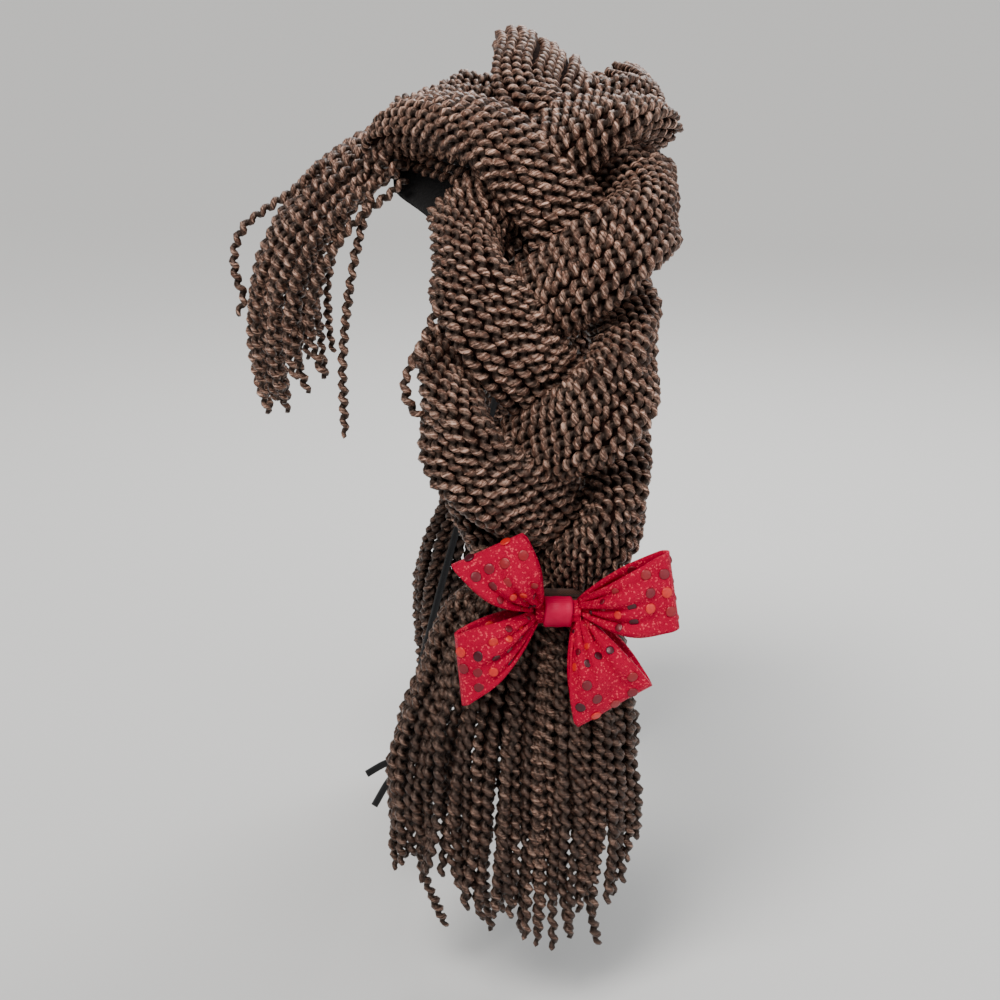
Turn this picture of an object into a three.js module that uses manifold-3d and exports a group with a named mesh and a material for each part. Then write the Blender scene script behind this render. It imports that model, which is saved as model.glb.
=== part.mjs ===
// A braid wig. Three thick bundles of twisted yarn are plaited over the top of the head and down both sides.
// Each plait is tied off under a ribbon bow and ends in a loose tassel. A fringe hangs in front, a felt band
// lies under the crown, and a knotted elastic goes under the chin.
// Millimetres, +Z up, the face towards -Y and the wearer's left towards +X.
// The origin is the top of the wearer's head, where the felt band sits.

import * as THREE from "three";
import { mergeVertices } from "three/addons/utils/BufferGeometryUtils.js";
import Module from "manifold-3d";

const wasm = await Module();
wasm.setup();

// Driving sizes

const GAP = 0.3; // clearance between pieces that touch
const CUT = 0.5; // the same where a faceted bundle cuts its neighbour

const HEAD = {
  halfWidth: 72, // ear to ear
  halfLength: 88, // forehead to back
  dome: 88, // top of the head down to its widest level
};

const PLAIT = {
  run: 206, // along the plait, from the middle of the crown to each tie
  pitch: 135, // in which one bundle swings from edge to edge and back
  firstLobe: 37, // run to the first lobe on the back edge
  lead: 0.3, // how much sooner a bundle comes to the front edge, in radians of its swing
  settle: 15, // run in which the bundles lie side by side at the crown
  halfWidth: 46,
  crest: 6, // the crown's highest line, back of the middle
  hump: 13, // how far the plait's edges drop below its middle on the crown
  restDrop: 6, // how much lower the plait lies on the crown's right
  restSqueeze: 0.28, // share by which its front edge is drawn in there
  restRun: 80, // run in which it does so
  tilt: 0.7, // how far a bundle turns on edge where it rounds the plait's edge
};

const BUNDLE = { halfWidth: 14.8, halfThickness: 10, sides: 8, step: 10.5 };

const FELT = { wall: 2, halfWidth: 41, overhang: 14, headCut: 14 };

const TIE = { height: 9, wall: 2 };

const TASSEL = { length: 104, spread: 31, lockRadius: 6.6, sides: 6, drift: -10 };

const FRINGE = { length: 96, halfSpan: 38, lockRadius: 5.4, barRadius: 6.5, sides: 6, endOff: 3, puff: 6 };

const RIBBON = { width: 25, cloth: 1, fold: 2.4, lean: 9, puff: 5.5, gather: 0.9 };

const KNOT_BAND = { width: 8.2, cloth: 1, coreRadius: 3.5, coreEnds: 2.5 };

const ELASTIC = { diameter: 2.6, sides: 8, step: 8.5, knotRadius: 3.4 };

// Colours and finishes

const YARN = new THREE.MeshStandardMaterial({ color: 0x3c2219, roughness: 0.8, metalness: 0 });
const FELT_CLOTH = new THREE.MeshStandardMaterial({ color: 0x100f10, roughness: 0.95, metalness: 0 });
const GLITTER = new THREE.MeshStandardMaterial({ color: 0xb8102c, roughness: 0.4, metalness: 0.2 });
const SATIN = new THREE.MeshStandardMaterial({ color: 0xc80d33, roughness: 0.35, metalness: 0 });
const RUBBER = new THREE.MeshStandardMaterial({ color: 0x16191a, roughness: 0.7, metalness: 0 });

// Hand-chosen tables. Lengths are shares of the named sizes.

// run: share of PLAIT.run. half: share of PLAIT.halfWidth. shift: of the same, towards the back.
// wide and thick: shares of the bundle's half sizes. depth: share of its half thickness.
// round: how much of its width a bundle loses on edge, where it rounds the plait's edge.
// hump: share of PLAIT.hump.
const PLAIT_ROWS = [
  { run: 0.0, half: 0.76, shift: -0.1, wide: 1.34, thick: 0.86, depth: 0.55, round: 0.2, hump: 1 },
  { run: 0.12, half: 0.86, shift: -0.1, wide: 1.26, thick: 0.86, depth: 0.55, round: 0.3, hump: 0.92 },
  { run: 0.24, half: 0.97, shift: -0.12, wide: 1.14, thick: 0.92, depth: 0.6, round: 0.3, hump: 0.54 },
  { run: 0.35, half: 0.86, shift: -0.02, wide: 1.08, thick: 1.1, depth: 0.65, round: 0.25, hump: 0.08 },
  { run: 0.46, half: 0.79, shift: 0.03, wide: 1.05, thick: 1.06, depth: 0.75, round: 0.2, hump: 0 },
  { run: 0.56, half: 0.74, shift: -0.03, wide: 1.03, thick: 1.0, depth: 0.8, round: 0.15, hump: 0 },
  { run: 0.665, half: 0.74, shift: -0.08, wide: 1.0, thick: 1.0, depth: 0.85, round: 0.1, hump: 0 },
  { run: 0.77, half: 0.73, shift: -0.08, wide: 1.0, thick: 1.0, depth: 0.85, round: 0.1, hump: 0 },
  { run: 0.88, half: 0.63, shift: -0.02, wide: 0.94, thick: 0.94, depth: 0.8, round: 0.1, hump: 0 },
  { run: 1.0, half: 0.34, shift: 0.05, wide: 0.62, thick: 0.65, depth: 0.5, round: 0.1, hump: 0 },
];

// A bundle's own course at the crown, one row each, left off between two shares of PLAIT.run.
// ahead: radians that its swing is ahead. shift: share of PLAIT.halfWidth. lift: of its half thickness.
const CROWN_ROWS = [
  { ahead: 0.75, shift: 0, lift: -0.6, even: 0, until: 0.22 },
  { ahead: 1.15, shift: -0.15, lift: 0.25, even: 0.22, until: 0.56 },
  { ahead: 1.7, shift: 0, lift: 0, even: 0, until: 0.27 },
];

// run: share of PLAIT.run. front and back: the felt's edges as shares of FELT.halfWidth.
const FELT_ROWS = [
  { run: 0.0, front: -1.14, back: 0.84 },
  { run: 0.12, front: -1.16, back: 0.86 },
  { run: 0.24, front: -1.16, back: 0.88 },
  { run: 0.34, front: -0.92, back: 0.7 },
  { run: 0.43, front: -0.62, back: 0.34 },
  { run: 0.48, front: -0.44, back: 0.06 },
];

// angle: degrees round the tie, 0 at the back, 90 away from the head, 180 at the front.
// spread: share of TASSEL.spread. rise: of the same, how far the lock arches up first.
// long: share of TASSEL.length. thick: share of TASSEL.lockRadius.
const TASSEL_ROWS = [
  { angle: 0, spread: 0.36, rise: 0.05, long: 0.76, thick: 1.0 },
  { angle: 35, spread: 0.36, rise: 0.05, long: 0.9, thick: 1.15 },
  { angle: 70, spread: 0.36, rise: 0.1, long: 0.97, thick: 1.2 },
  { angle: 100, spread: 0.4, rise: 0.12, long: 1.0, thick: 1.2 },
  { angle: 128, spread: 0.62, rise: 0.18, long: 0.94, thick: 1.15 },
  { angle: 152, spread: 0.95, rise: 0.3, long: 0.84, thick: 1.1 },
  { angle: 175, spread: 1.15, rise: 0.36, long: 0.76, thick: 1.05 },
  { angle: 200, spread: 0.9, rise: 0.25, long: 0.8, thick: 1.1 },
  { angle: 232, spread: 0.5, rise: 0.1, long: 0.88, thick: 1.15 },
  { angle: 270, spread: 0.26, rise: 0.05, long: 0.92, thick: 1.2 },
  { angle: 315, spread: 0.3, rise: 0.05, long: 0.86, thick: 1.15 },
];

// The tassel's full middle. down: share of TASSEL.length. wide and thick: shares of the tie's inside.
const TASSEL_HEART = [
  { down: 0, wide: 1, thick: 1 },
  { down: 0.14, wide: 1, thick: 1 },
  { down: 0.4, wide: 1.35, thick: 1.2 },
  { down: 0.78, wide: 1.5, thick: 1.15 },
];

// across: root's place as a share of FRINGE.halfSpan. out: end's place as a share of it.
// long: share of FRINGE.length. off: share of the stand-off. thick: share of FRINGE.lockRadius.
const FRINGE_ROWS = [
  { across: -0.96, out: -1.02, long: 0.72, off: 0.75, thick: 0.85 },
  { across: -0.72, out: -0.74, long: 0.8, off: 0.9, thick: 1.0 },
  { across: -0.48, out: -0.48, long: 0.9, off: 1.0, thick: 1.05 },
  { across: -0.24, out: -0.22, long: 0.98, off: 1.05, thick: 1.05 },
  { across: 0.0, out: 0.02, long: 1.0, off: 1.05, thick: 1.05 },
  { across: 0.24, out: 0.26, long: 0.96, off: 1.05, thick: 1.05 },
  { across: 0.48, out: 0.5, long: 0.84, off: 1.0, thick: 1.05 },
  { across: 0.72, out: 0.76, long: 0.76, off: 0.9, thick: 1.0 },
  { across: 0.96, out: 1.04, long: 0.68, off: 0.75, thick: 0.85 },
];

// The ribbon's four loops, from the bow's front: the two corners of each loop's outer fold, towards the
// back of the head (y) and up (z), as shares of RIBBON.width.
const LOOP_ROWS = [
  { y1: -1.16, z1: 0.6, y2: -0.36, z2: 0.98 },
  { y1: -1.02, z1: -0.98, y2: -1.1, z2: -0.1 },
  { y1: 1.03, z1: -0.68, y2: 0.18, z2: -1.2 },
  { y1: 1.28, z1: -0.1, y2: 1.14, z2: 0.82 },
];

// The elastic's route on the wearer's left, from the felt to the middle of the chin, chosen by hand.
const ELASTIC_POINTS = [
  [66.4, -7.9, -50.9],
  [69.3, -8.6, -60.8],
  [71.3, -9.6, -72.7],
  [72.3, -11.5, -88.0],
  [72.0, -15.0, -106.0],
  [69.5, -21.0, -129.0],
  [63.5, -29.0, -154.0],
  [53.5, -36.5, -179.0],
  [39.5, -43.0, -202.0],
  [21.5, -47.5, -218.0],
  [0.0, -49.0, -224.0],
];
const KNOT_PLACE = ELASTIC_POINTS.at(-2); // the knot sits on the route's last point but one
const KNOT_ENDS = [
  [6.5, -13.0, -3.5],
  [8.5, -10.5, -14.5],
];

// Curves

// A smooth curve through a table's rows: each column as a function of the first one.
function smoothTable(rows, key) {
  const columns = Object.keys(rows[0]).filter((name) => name !== key);
  const at = (i) => rows[THREE.MathUtils.clamp(i, 0, rows.length - 1)];
  const slope = (i, name) => (at(i + 1)[name] - at(i - 1)[name]) / (at(i + 1)[key] - at(i - 1)[key]);
  return (value) => {
    let i = 0;
    while (i < rows.length - 2 && rows[i + 1][key] < value) i += 1;
    const width = rows[i + 1][key] - rows[i][key];
    const u = THREE.MathUtils.clamp((value - rows[i][key]) / width, 0, 1);
    const found = {};
    for (const name of columns) {
      const from = rows[i][name];
      const to = rows[i + 1][name];
      const start = slope(i, name) * width;
      const end = slope(i + 1, name) * width;
      const bend = (2 * (from - to) + start + end) * u + 3 * (to - from) - 2 * start - end;
      found[name] = from + start * u + bend * u * u;
    }
    return found;
  };
}

const plaitRow = smoothTable(PLAIT_ROWS, "run");
const feltRow = smoothTable(FELT_ROWS, "run");

// Half sizes of the plait and its bundles at a run from the crown.
function plaitSizes(run) {
  const row = plaitRow(run / PLAIT.run);
  const thick = row.thick * BUNDLE.halfThickness;
  return {
    wide: row.wide * BUNDLE.halfWidth,
    thick,
    depth: row.depth * BUNDLE.halfThickness,
    round: row.round,
    hump: row.hump * PLAIT.hump,
    sway: row.half * PLAIT.halfWidth - thick,
    shift: row.shift * PLAIT.halfWidth,
  };
}

const SIDE_SIZES = plaitSizes(0.7 * PLAIT.run);
const MID_LIFT = FELT.wall + GAP + SIDE_SIZES.depth + SIDE_SIZES.thick;

// Angle from the top of the head, in radians, for each run along the plait's middle line.
const ANGLE_STEPS = 240;
const RUNS = [0];
for (let i = 1; i <= ANGLE_STEPS; i += 1) {
  const angle = ((i - 0.5) / ANGLE_STEPS) * (Math.PI / 2);
  const across = (HEAD.halfWidth + MID_LIFT) * Math.cos(angle);
  const down = (HEAD.dome + MID_LIFT) * Math.sin(angle);
  RUNS.push(RUNS[i - 1] + (Math.hypot(across, down) * Math.PI) / 2 / ANGLE_STEPS);
}
const SIDE_RUN = RUNS[ANGLE_STEPS];

function angleAt(run) {
  if (run >= SIDE_RUN) return Math.PI / 2;
  let i = 1;
  while (RUNS[i] < run) i += 1;
  const share = (run - RUNS[i - 1]) / (RUNS[i] - RUNS[i - 1]);
  return ((i - 1 + share) / ANGLE_STEPS) * (Math.PI / 2);
}

// The head's surface under the plait's middle line, at y = 0: a point and the normal there.
function headAt(run) {
  const angle = angleAt(run);
  const normal = new THREE.Vector3(HEAD.dome * Math.sin(angle), 0, HEAD.halfWidth * Math.cos(angle)).normalize();
  const down = Math.max(0, run - SIDE_RUN);
  const z = HEAD.dome * (Math.cos(angle) - 1) - down;
  return { point: new THREE.Vector3(HEAD.halfWidth * Math.sin(angle), 0, z), normal };
}

// How far the head falls away from the middle line at y, until the plait hangs free.
function fallAt(run, y) {
  const free = THREE.MathUtils.smoothstep(run, 0.5 * PLAIT.run, 0.76 * PLAIT.run);
  return ((y * y) / (2 * HEAD.halfLength ** 2)) * HEAD.dome * (1 - free);
}

// A point over the head: run from the crown, place y and height above the head's surface.
function overHead(run, y, height) {
  const { point, normal } = headAt(run);
  return point.addScaledVector(normal, height - fallAt(run, y)).setY(y);
}

// How much of a bundle's own course at the crown is left at a run.
function crownShare(run, bundle) {
  const { even, until } = CROWN_ROWS[bundle];
  return 1 - THREE.MathUtils.smoothstep(run, even * PLAIT.run, until * PLAIT.run);
}

// A bundle's place in its swing: even down the sides, and side by side with the others at the crown.
function phaseAt(run, bundle) {
  const eased = (r) => Math.hypot(r, PLAIT.settle) - PLAIT.settle;
  const turns = (eased(run) - eased(PLAIT.firstLobe)) / PLAIT.pitch + 0.25 + bundle / 3;
  const swing = turns * 2 * Math.PI + CROWN_ROWS[bundle].ahead * crownShare(run, bundle);
  return swing + (PLAIT.lead / 2) * (1 - Math.sin(swing));
}

// Meshes and solids

// A closed surface through rings of equally many points, with a fan on each end.
function loft(rings) {
  const count = rings[0].length;
  const points = rings.flat();
  const index = [];
  for (let r = 0; r < rings.length - 1; r += 1) {
    for (let i = 0; i < count; i += 1) {
      const a = r * count + i;
      const b = r * count + ((i + 1) % count);
      index.push(a, b, a + count, b, b + count, a + count);
    }
  }
  for (const [r, flip] of [[0, true], [rings.length - 1, false]]) {
    const middle = rings[r].reduce((sum, p) => sum.add(p), new THREE.Vector3()).divideScalar(count);
    points.push(middle);
    for (let i = 0; i < count; i += 1) {
      const a = r * count + i;
      const b = r * count + ((i + 1) % count);
      index.push(...(flip ? [b, a, points.length - 1] : [a, b, points.length - 1]));
    }
  }
  return solidOf(points, index);
}

// A manifold-3d solid from points and triangles, turned inside in if its faces point inwards.
function solidOf(points, index) {
  const signed = (list) => {
    let sum = 0;
    for (let i = 0; i < list.length; i += 3) {
      const [a, b, c] = [0, 1, 2].map((k) => points[list[i + k]]);
      sum += a.dot(new THREE.Vector3().crossVectors(b, c));
    }
    return sum;
  };
  const faces = signed(index) < 0 ? index.slice().reverse() : index;
  return new wasm.Manifold(
    new wasm.Mesh({
      numProp: 3,
      vertProperties: new Float32Array(points.flatMap((p) => [p.x, p.y, p.z])),
      triVerts: new Uint32Array(faces),
    }),
  );
}

// A three.js geometry, moved by a matrix, as a manifold-3d solid.
function solidOfGeometry(geometry, matrix = new THREE.Matrix4()) {
  const bare = geometry.clone().applyMatrix4(matrix);
  bare.deleteAttribute("normal");
  bare.deleteAttribute("uv");
  const merged = mergeVertices(bare, 1e-4);
  const places = merged.getAttribute("position");
  const points = [];
  for (let i = 0; i < places.count; i += 1) points.push(new THREE.Vector3().fromBufferAttribute(places, i));
  return solidOf(points, Array.from(merged.index.array));
}

function joined(solids) {
  return solids.reduce((sum, solid) => sum.add(solid));
}

function meshOf(name, solid, material) {
  const { vertProperties, triVerts, numProp } = solid.getMesh();
  const positions = new Float32Array((vertProperties.length / numProp) * 3);
  for (let i = 0; i < positions.length / 3; i += 1) {
    positions.set(vertProperties.subarray(i * numProp, i * numProp + 3), i * 3);
  }
  const geometry = new THREE.BufferGeometry();
  geometry.setAttribute("position", new THREE.BufferAttribute(positions, 3));
  geometry.setIndex(new THREE.BufferAttribute(new Uint32Array(triVerts), 1));
  geometry.computeVertexNormals();
  const mesh = new THREE.Mesh(geometry, material);
  mesh.name = name;
  return mesh;
}

// The largest body of a solid, without the slivers that a cut leaves.
function mainBody(solid) {
  return solid.decompose().reduce((most, body) => (body.volume() > most.volume() ? body : most));
}

// Points round an ellipse spanned by two vectors.
function ellipseRing(centre, wide, thick, sides) {
  return Array.from({ length: sides }, (_, i) => {
    const turn = (2 * Math.PI * (i + 0.5)) / sides;
    return centre.clone().addScaledVector(wide, Math.cos(turn)).addScaledVector(thick, Math.sin(turn));
  });
}

// The same ellipse, with its points in even directions from the y axis towards the outward one, so that
// the faces between two such rings don't twist.
function levelRing(centre, wide, thick, outward, sides) {
  const flat = (span) => new THREE.Vector2(span.y, span.dot(outward));
  const [w, t] = [flat(wide), flat(thick)];
  const area = w.cross(t);
  return Array.from({ length: sides }, (_, i) => {
    const turn = (2 * Math.PI * (i + 0.5)) / sides;
    const way = new THREE.Vector2(Math.cos(turn), Math.sin(turn));
    const reach = Math.abs(area) / Math.hypot(way.cross(t), way.cross(w));
    return centre.clone().addScaledVector(outward, reach * way.y).add(new THREE.Vector3(0, reach * way.x, 0));
  });
}

// A round tube through points, each with its own radius, whose sections don't twist.
function tube(points, radii, sides) {
  let side = null;
  const rings = points.map((point, i) => {
    const ahead = points[Math.min(i + 1, points.length - 1)];
    const along = ahead.clone().sub(points[Math.max(i - 1, 0)]).normalize();
    side ??= new THREE.Vector3(0.31, 0.2, 0.93).cross(along);
    side = side.clone().addScaledVector(along, -side.dot(along)).normalize();
    const other = new THREE.Vector3().crossVectors(along, side);
    return ellipseRing(point, side.clone().multiplyScalar(radii[i]), other.multiplyScalar(radii[i]), sides);
  });
  return loft(rings);
}

function mirrored(solid) {
  return solid.mirror([1, 0, 0]);
}

// The plaited bundles

// The middle of a bundle at a signed run, negative on the wearer's right.
function bundleCentre(bundle, signedRun) {
  const run = Math.abs(signedRun);
  const { depth, sway, shift, hump } = plaitSizes(run);
  const phase = phaseAt(run, bundle);
  const rest = Math.sin(Math.PI * THREE.MathUtils.clamp(-signedRun / PLAIT.restRun, 0, 1));
  const crown = crownShare(run, bundle);
  const own = CROWN_ROWS[bundle];
  const even = shift + sway * Math.sin(phase) + crown * own.shift * PLAIT.halfWidth;
  const y = even + rest * PLAIT.restSqueeze * Math.max(0, PLAIT.crest - even);
  const drop = hump * ((y - PLAIT.crest) / PLAIT.halfWidth) ** 2 + rest * PLAIT.restDrop;
  const lift = plaitLift(run) - depth * Math.sin(2 * phase) + crown * own.lift * BUNDLE.halfThickness;
  const place = overHead(run, y, lift - drop);
  return signedRun < 0 ? place.setX(-place.x) : place;
}

function plaitLift(run) {
  const { depth, thick } = plaitSizes(run);
  return FELT.wall + GAP + depth + thick;
}

// One bundle from tie to tie, grown by a margin where it cuts its neighbours.
function bundleSolid(bundle, grow) {
  const steps = Math.round((2 * PLAIT.run) / BUNDLE.step);
  const rings = [];
  for (let i = 0; i <= steps; i += 1) {
    const signedRun = (2 * i / steps - 1) * PLAIT.run;
    const run = Math.abs(signedRun);
    const phase = phaseAt(run, bundle);
    const centre = bundleCentre(bundle, signedRun);
    const nudge = 0.5;
    const along = bundleCentre(bundle, signedRun + nudge).sub(bundleCentre(bundle, signedRun - nudge)).normalize();
    const outward = headAt(run).normal;
    if (signedRun < 0) outward.x = -outward.x;
    const level = new THREE.Vector3(0, 1, 0).cross(outward);
    const turn = new THREE.Vector2(Math.cos(phase), -PLAIT.tilt * Math.cos(2 * phase)).normalize();
    const wide = new THREE.Vector3(0, turn.x, 0).addScaledVector(outward, turn.y);
    wide.addScaledVector(along, -wide.dot(along)).normalize();
    const thick = new THREE.Vector3().crossVectors(along, wide);
    const sizes = plaitSizes(run);
    const onEdge = 1 - sizes.round * Math.sin(phase) ** 2;
    wide.multiplyScalar(sizes.wide * onEdge + grow);
    thick.multiplyScalar(sizes.thick + grow);
    // The section is slid along the bundle into the plane across the plait, where sections can't cross.
    for (const span of [wide, thick]) span.addScaledVector(along, -span.dot(level) / along.dot(level));
    const end = i === 0 || i === steps ? grow : 0;
    centre.addScaledVector(along, (i === 0 ? -end : end) / along.dot(level));
    rings.push(levelRing(centre, wide, thick, outward, BUNDLE.sides));
  }
  return loft(rings);
}

// The felt band, a curved wall on the head

// The wall between two heights over the head, with its edges moved out.
function feltWall(under, over, spread) {
  const last = FELT_ROWS[FELT_ROWS.length - 1].run * PLAIT.run;
  const lengthSteps = 18;
  const widthSteps = 5;
  const layers = [under, over].map((height) => {
    const grid = [];
    for (let i = 0; i <= lengthSteps; i += 1) {
      const signedRun = (2 * i / lengthSteps - 1) * (last + spread);
      const run = Math.abs(signedRun);
      const { front, back } = feltRow(run / PLAIT.run);
      for (let j = 0; j <= widthSteps; j += 1) {
        const from = front * FELT.halfWidth - spread;
        const y = from + ((back * FELT.halfWidth + spread - from) * j) / widthSteps;
        const place = overHead(run, y, height);
        grid.push(signedRun < 0 ? place.setX(-place.x) : place);
      }
    }
    return grid;
  });
  return sheetSolid(layers, lengthSteps + 1, widthSteps + 1);
}

// A closed wall between two grids of points, rows by columns.
function sheetSolid([under, over], rows, columns) {
  const points = [...under, ...over];
  const lift = rows * columns;
  const index = [];
  const quad = (a, b, c, d) => index.push(a, b, c, a, c, d);
  const at = (i, j) => i * columns + j;
  for (let i = 0; i < rows - 1; i += 1) {
    for (let j = 0; j < columns - 1; j += 1) {
      quad(at(i, j), at(i, j + 1), at(i + 1, j + 1), at(i + 1, j));
      quad(at(i, j) + lift, at(i + 1, j) + lift, at(i + 1, j + 1) + lift, at(i, j + 1) + lift);
    }
    for (const [j, flip] of [[0, false], [columns - 1, true]]) {
      const edge = [at(i, j), at(i + 1, j), at(i + 1, j) + lift, at(i, j) + lift];
      quad(...(flip ? edge.reverse() : edge));
    }
  }
  for (let j = 0; j < columns - 1; j += 1) {
    for (const [i, flip] of [[0, true], [rows - 1, false]]) {
      const edge = [at(i, j), at(i, j + 1), at(i, j + 1) + lift, at(i, j) + lift];
      quad(...(flip ? edge.reverse() : edge));
    }
  }
  return solidOf(points, index);
}

// The tassels, on the wearer's left; the other one is mirrored

const TIE_PLACE = overHead(PLAIT.run, plaitSizes(PLAIT.run).shift, plaitLift(PLAIT.run));

// Half sizes of what the tie goes round, from the bundles' ends.
const TIED = (() => {
  const { sway, wide, thick, depth } = plaitSizes(PLAIT.run);
  return { wide: sway + 0.88 * wide, thick: depth + thick };
})();

function lockPath(row) {
  const angle = THREE.MathUtils.degToRad(row.angle);
  const out = new THREE.Vector3(Math.sin(angle), Math.cos(angle), 0);
  const root = TIE_PLACE.clone().setZ(TIE_PLACE.z - TIE.height / 2);
  root.x += 0.45 * TIED.thick * out.x;
  root.y += 0.5 * TIED.wide * out.y;
  return (u) => {
    const flare = 1 - (1 - u) ** 4;
    const rise = row.rise * TASSEL.spread * Math.sin(Math.PI * Math.min(1, 3.2 * u));
    const fall = row.long * (TASSEL.length - TIE.height / 2) * u;
    const place = root.clone().addScaledVector(out, row.spread * TASSEL.spread * flare);
    return place.setZ(root.z - fall + rise);
  };
}

function tasselSolid() {
  const steps = 4;
  const locks = TASSEL_ROWS.map((row) => {
    const path = lockPath(row);
    const points = [];
    const radii = [];
    for (let i = 0; i <= steps; i += 1) {
      const u = (i / steps) ** 1.5;
      points.push(path(u));
      radii.push(row.thick * TASSEL.lockRadius * (0.72 + 0.42 * u - 0.55 * u ** 6));
    }
    return tube(points, radii, TASSEL.sides);
  });
  const heart = TASSEL_HEART.map(({ down, wide, thick }) => {
    const middle = TIE_PLACE.clone().setZ(TIE_PLACE.z - GAP / 2 - down * TASSEL.length);
    middle.y += down * TASSEL.drift;
    const across = new THREE.Vector3(0, wide * (TIED.wide - GAP), 0);
    return ellipseRing(middle, across, new THREE.Vector3(thick * (TIED.thick - GAP), 0, 0), 12);
  });
  return joined([loft(heart), ...locks]);
}

// The tie, a ring round the bundles' ends and the tassel's top, grown by a margin where it cuts the tassel.
function tieSolid(grow) {
  const oval = (reach, over) => {
    const wide = new THREE.Vector3(0, TIED.wide + reach, 0);
    const thick = new THREE.Vector3(TIED.thick + reach, 0, 0);
    const half = TIE.height / 2 + over;
    const levels = [half, -half].map((z) => TIE_PLACE.clone().setZ(TIE_PLACE.z + z));
    return loft(levels.map((level) => ellipseRing(level, wide, thick, 14)));
  };
  return oval(GAP + TIE.wall + grow, grow).subtract(oval(GAP - grow, 1));
}

// The fringe

function fringePath(row) {
  const rootOff = FELT.wall + GAP + FRINGE.barRadius;
  const front = FELT_ROWS[0].front * FELT.halfWidth - FRINGE.barRadius / 2;
  return (u) => {
    const x = THREE.MathUtils.lerp(row.across, row.out, u) * FRINGE.halfSpan;
    const narrow = Math.sqrt(1 - (x / HEAD.halfWidth) ** 2);
    const start = Math.asin(-front / (HEAD.halfLength * narrow + rootOff));
    const quarter = ((HEAD.halfLength + HEAD.dome) / 2) * narrow;
    const travel = row.long * FRINGE.length * u + quarter * start;
    const angle = Math.min(travel / quarter, Math.PI / 2);
    const below = Math.max(0, travel - (quarter * Math.PI) / 2);
    const held = THREE.MathUtils.lerp(rootOff, row.off * FRINGE.endOff, u);
    const off = held + row.off * FRINGE.puff * Math.sin(Math.PI * u);
    return new THREE.Vector3(
      (x / HEAD.halfWidth) * off + x,
      -(HEAD.halfLength * narrow + off) * Math.sin(angle),
      (HEAD.dome * narrow + off) * Math.cos(angle) - HEAD.dome - below,
    );
  };
}

function fringeSolid() {
  const steps = 5;
  const locks = FRINGE_ROWS.map((row) => {
    const path = fringePath(row);
    const points = [];
    const radii = [];
    for (let i = 0; i <= steps; i += 1) {
      const u = i / steps;
      points.push(path(u));
      radii.push(row.thick * FRINGE.lockRadius * (1 - 0.4 * u ** 3));
    }
    return tube(points, radii, FRINGE.sides);
  });
  const ends = FRINGE_ROWS.map((row) => fringePath(row)(0));
  const bar = tube(ends, ends.map(() => FRINGE.barRadius), FRINGE.sides);
  return joined([bar, ...locks]);
}

// The bows, on the wearer's left; the other one is mirrored

const BOW_PLACE = TIE_PLACE.clone().setX(
  TIE_PLACE.x + TIED.thick + GAP + TIE.wall + GAP + KNOT_BAND.cloth + GAP + KNOT_BAND.coreRadius,
);

// One loop of ribbon: out from the bow's middle in front, round the outer fold and back behind.
function loopSolid(row) {
  const corner = (y, z) => new THREE.Vector2(y, z).multiplyScalar(RIBBON.width);
  const [first, second] = [corner(row.y1, row.z1), corner(row.y2, row.z2)];
  const towards = first.clone().add(second).multiplyScalar(0.5);
  const across = second.clone().sub(first).normalize();
  const pinch = 0.5 * KNOT_BAND.width + GAP + 1.8 * RIBBON.cloth;
  const root = new THREE.Vector2(Math.sign(towards.x) * pinch, 0.42 * KNOT_BAND.coreRadius * Math.sign(towards.y));
  const frontSteps = 4;
  const foldSteps = 3;
  // Each station: out, the share of the way to the outer fold; lift, the height in front of the
  // ribbon's middle; past, how far the fold runs beyond it.
  const stations = [];
  for (let i = 0; i <= frontSteps; i += 1) {
    const out = i / frontSteps;
    stations.push({ out, lift: RIBBON.fold * (0.5 + 0.5 * out) + RIBBON.puff * Math.sin(Math.PI * out) ** 1.3, past: 0 });
  }
  for (let i = 1; i < foldSteps; i += 1) {
    const turn = (Math.PI * i) / foldSteps;
    stations.push({ out: 1, lift: RIBBON.fold * Math.cos(turn), past: RIBBON.fold * Math.sin(turn) });
  }
  for (let i = frontSteps; i >= 0; i -= 1) {
    const out = i / frontSteps;
    stations.push({ out, lift: -RIBBON.fold * (0.5 + 0.5 * out), past: 0 });
  }
  const columns = 4;
  const grid = stations.map(({ out, lift, past }) =>
    Array.from({ length: columns }, (_, j) => {
      const v = j / (columns - 1);
      const outer = first.clone().lerp(second, v);
      const inner = root.clone().addScaledVector(across, (v - 0.5) * KNOT_BAND.coreRadius);
      const flat = inner.lerp(outer, out).addScaledVector(towards.clone().normalize(), past);
      const gather = RIBBON.gather * Math.cos(3 * Math.PI * v) * (1 - out) ** 0.5;
      const crown = 0.25 * RIBBON.puff * Math.sin(Math.PI * v) * Math.sin(Math.PI * out);
      return new THREE.Vector3(lift + gather + crown * Math.sign(lift) + RIBBON.lean * out, flat.x, flat.y);
    }),
  );
  const half = RIBBON.cloth / 2;
  const layers = [-half, half].map((shift) =>
    grid.flatMap((row_, i) =>
      row_.map((place, j) => {
        const next = grid[Math.min(i + 1, grid.length - 1)][j];
        const along = next.clone().sub(grid[Math.max(i - 1, 0)][j]);
        const sideways = row_[Math.min(j + 1, columns - 1)].clone().sub(row_[Math.max(j - 1, 0)]);
        return place.clone().addScaledVector(along.cross(sideways).normalize(), shift).add(BOW_PLACE);
      }),
    ),
  );
  return sheetSolid(layers, grid.length, columns);
}

function bowSolid() {
  const coreLength = KNOT_BAND.width + 2 * KNOT_BAND.coreEnds;
  const core = new THREE.CylinderGeometry(KNOT_BAND.coreRadius, KNOT_BAND.coreRadius, coreLength, 14);
  const place = new THREE.Matrix4().makeTranslation(BOW_PLACE);
  return joined([solidOfGeometry(core, place), ...LOOP_ROWS.map(loopSolid)]);
}

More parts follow.
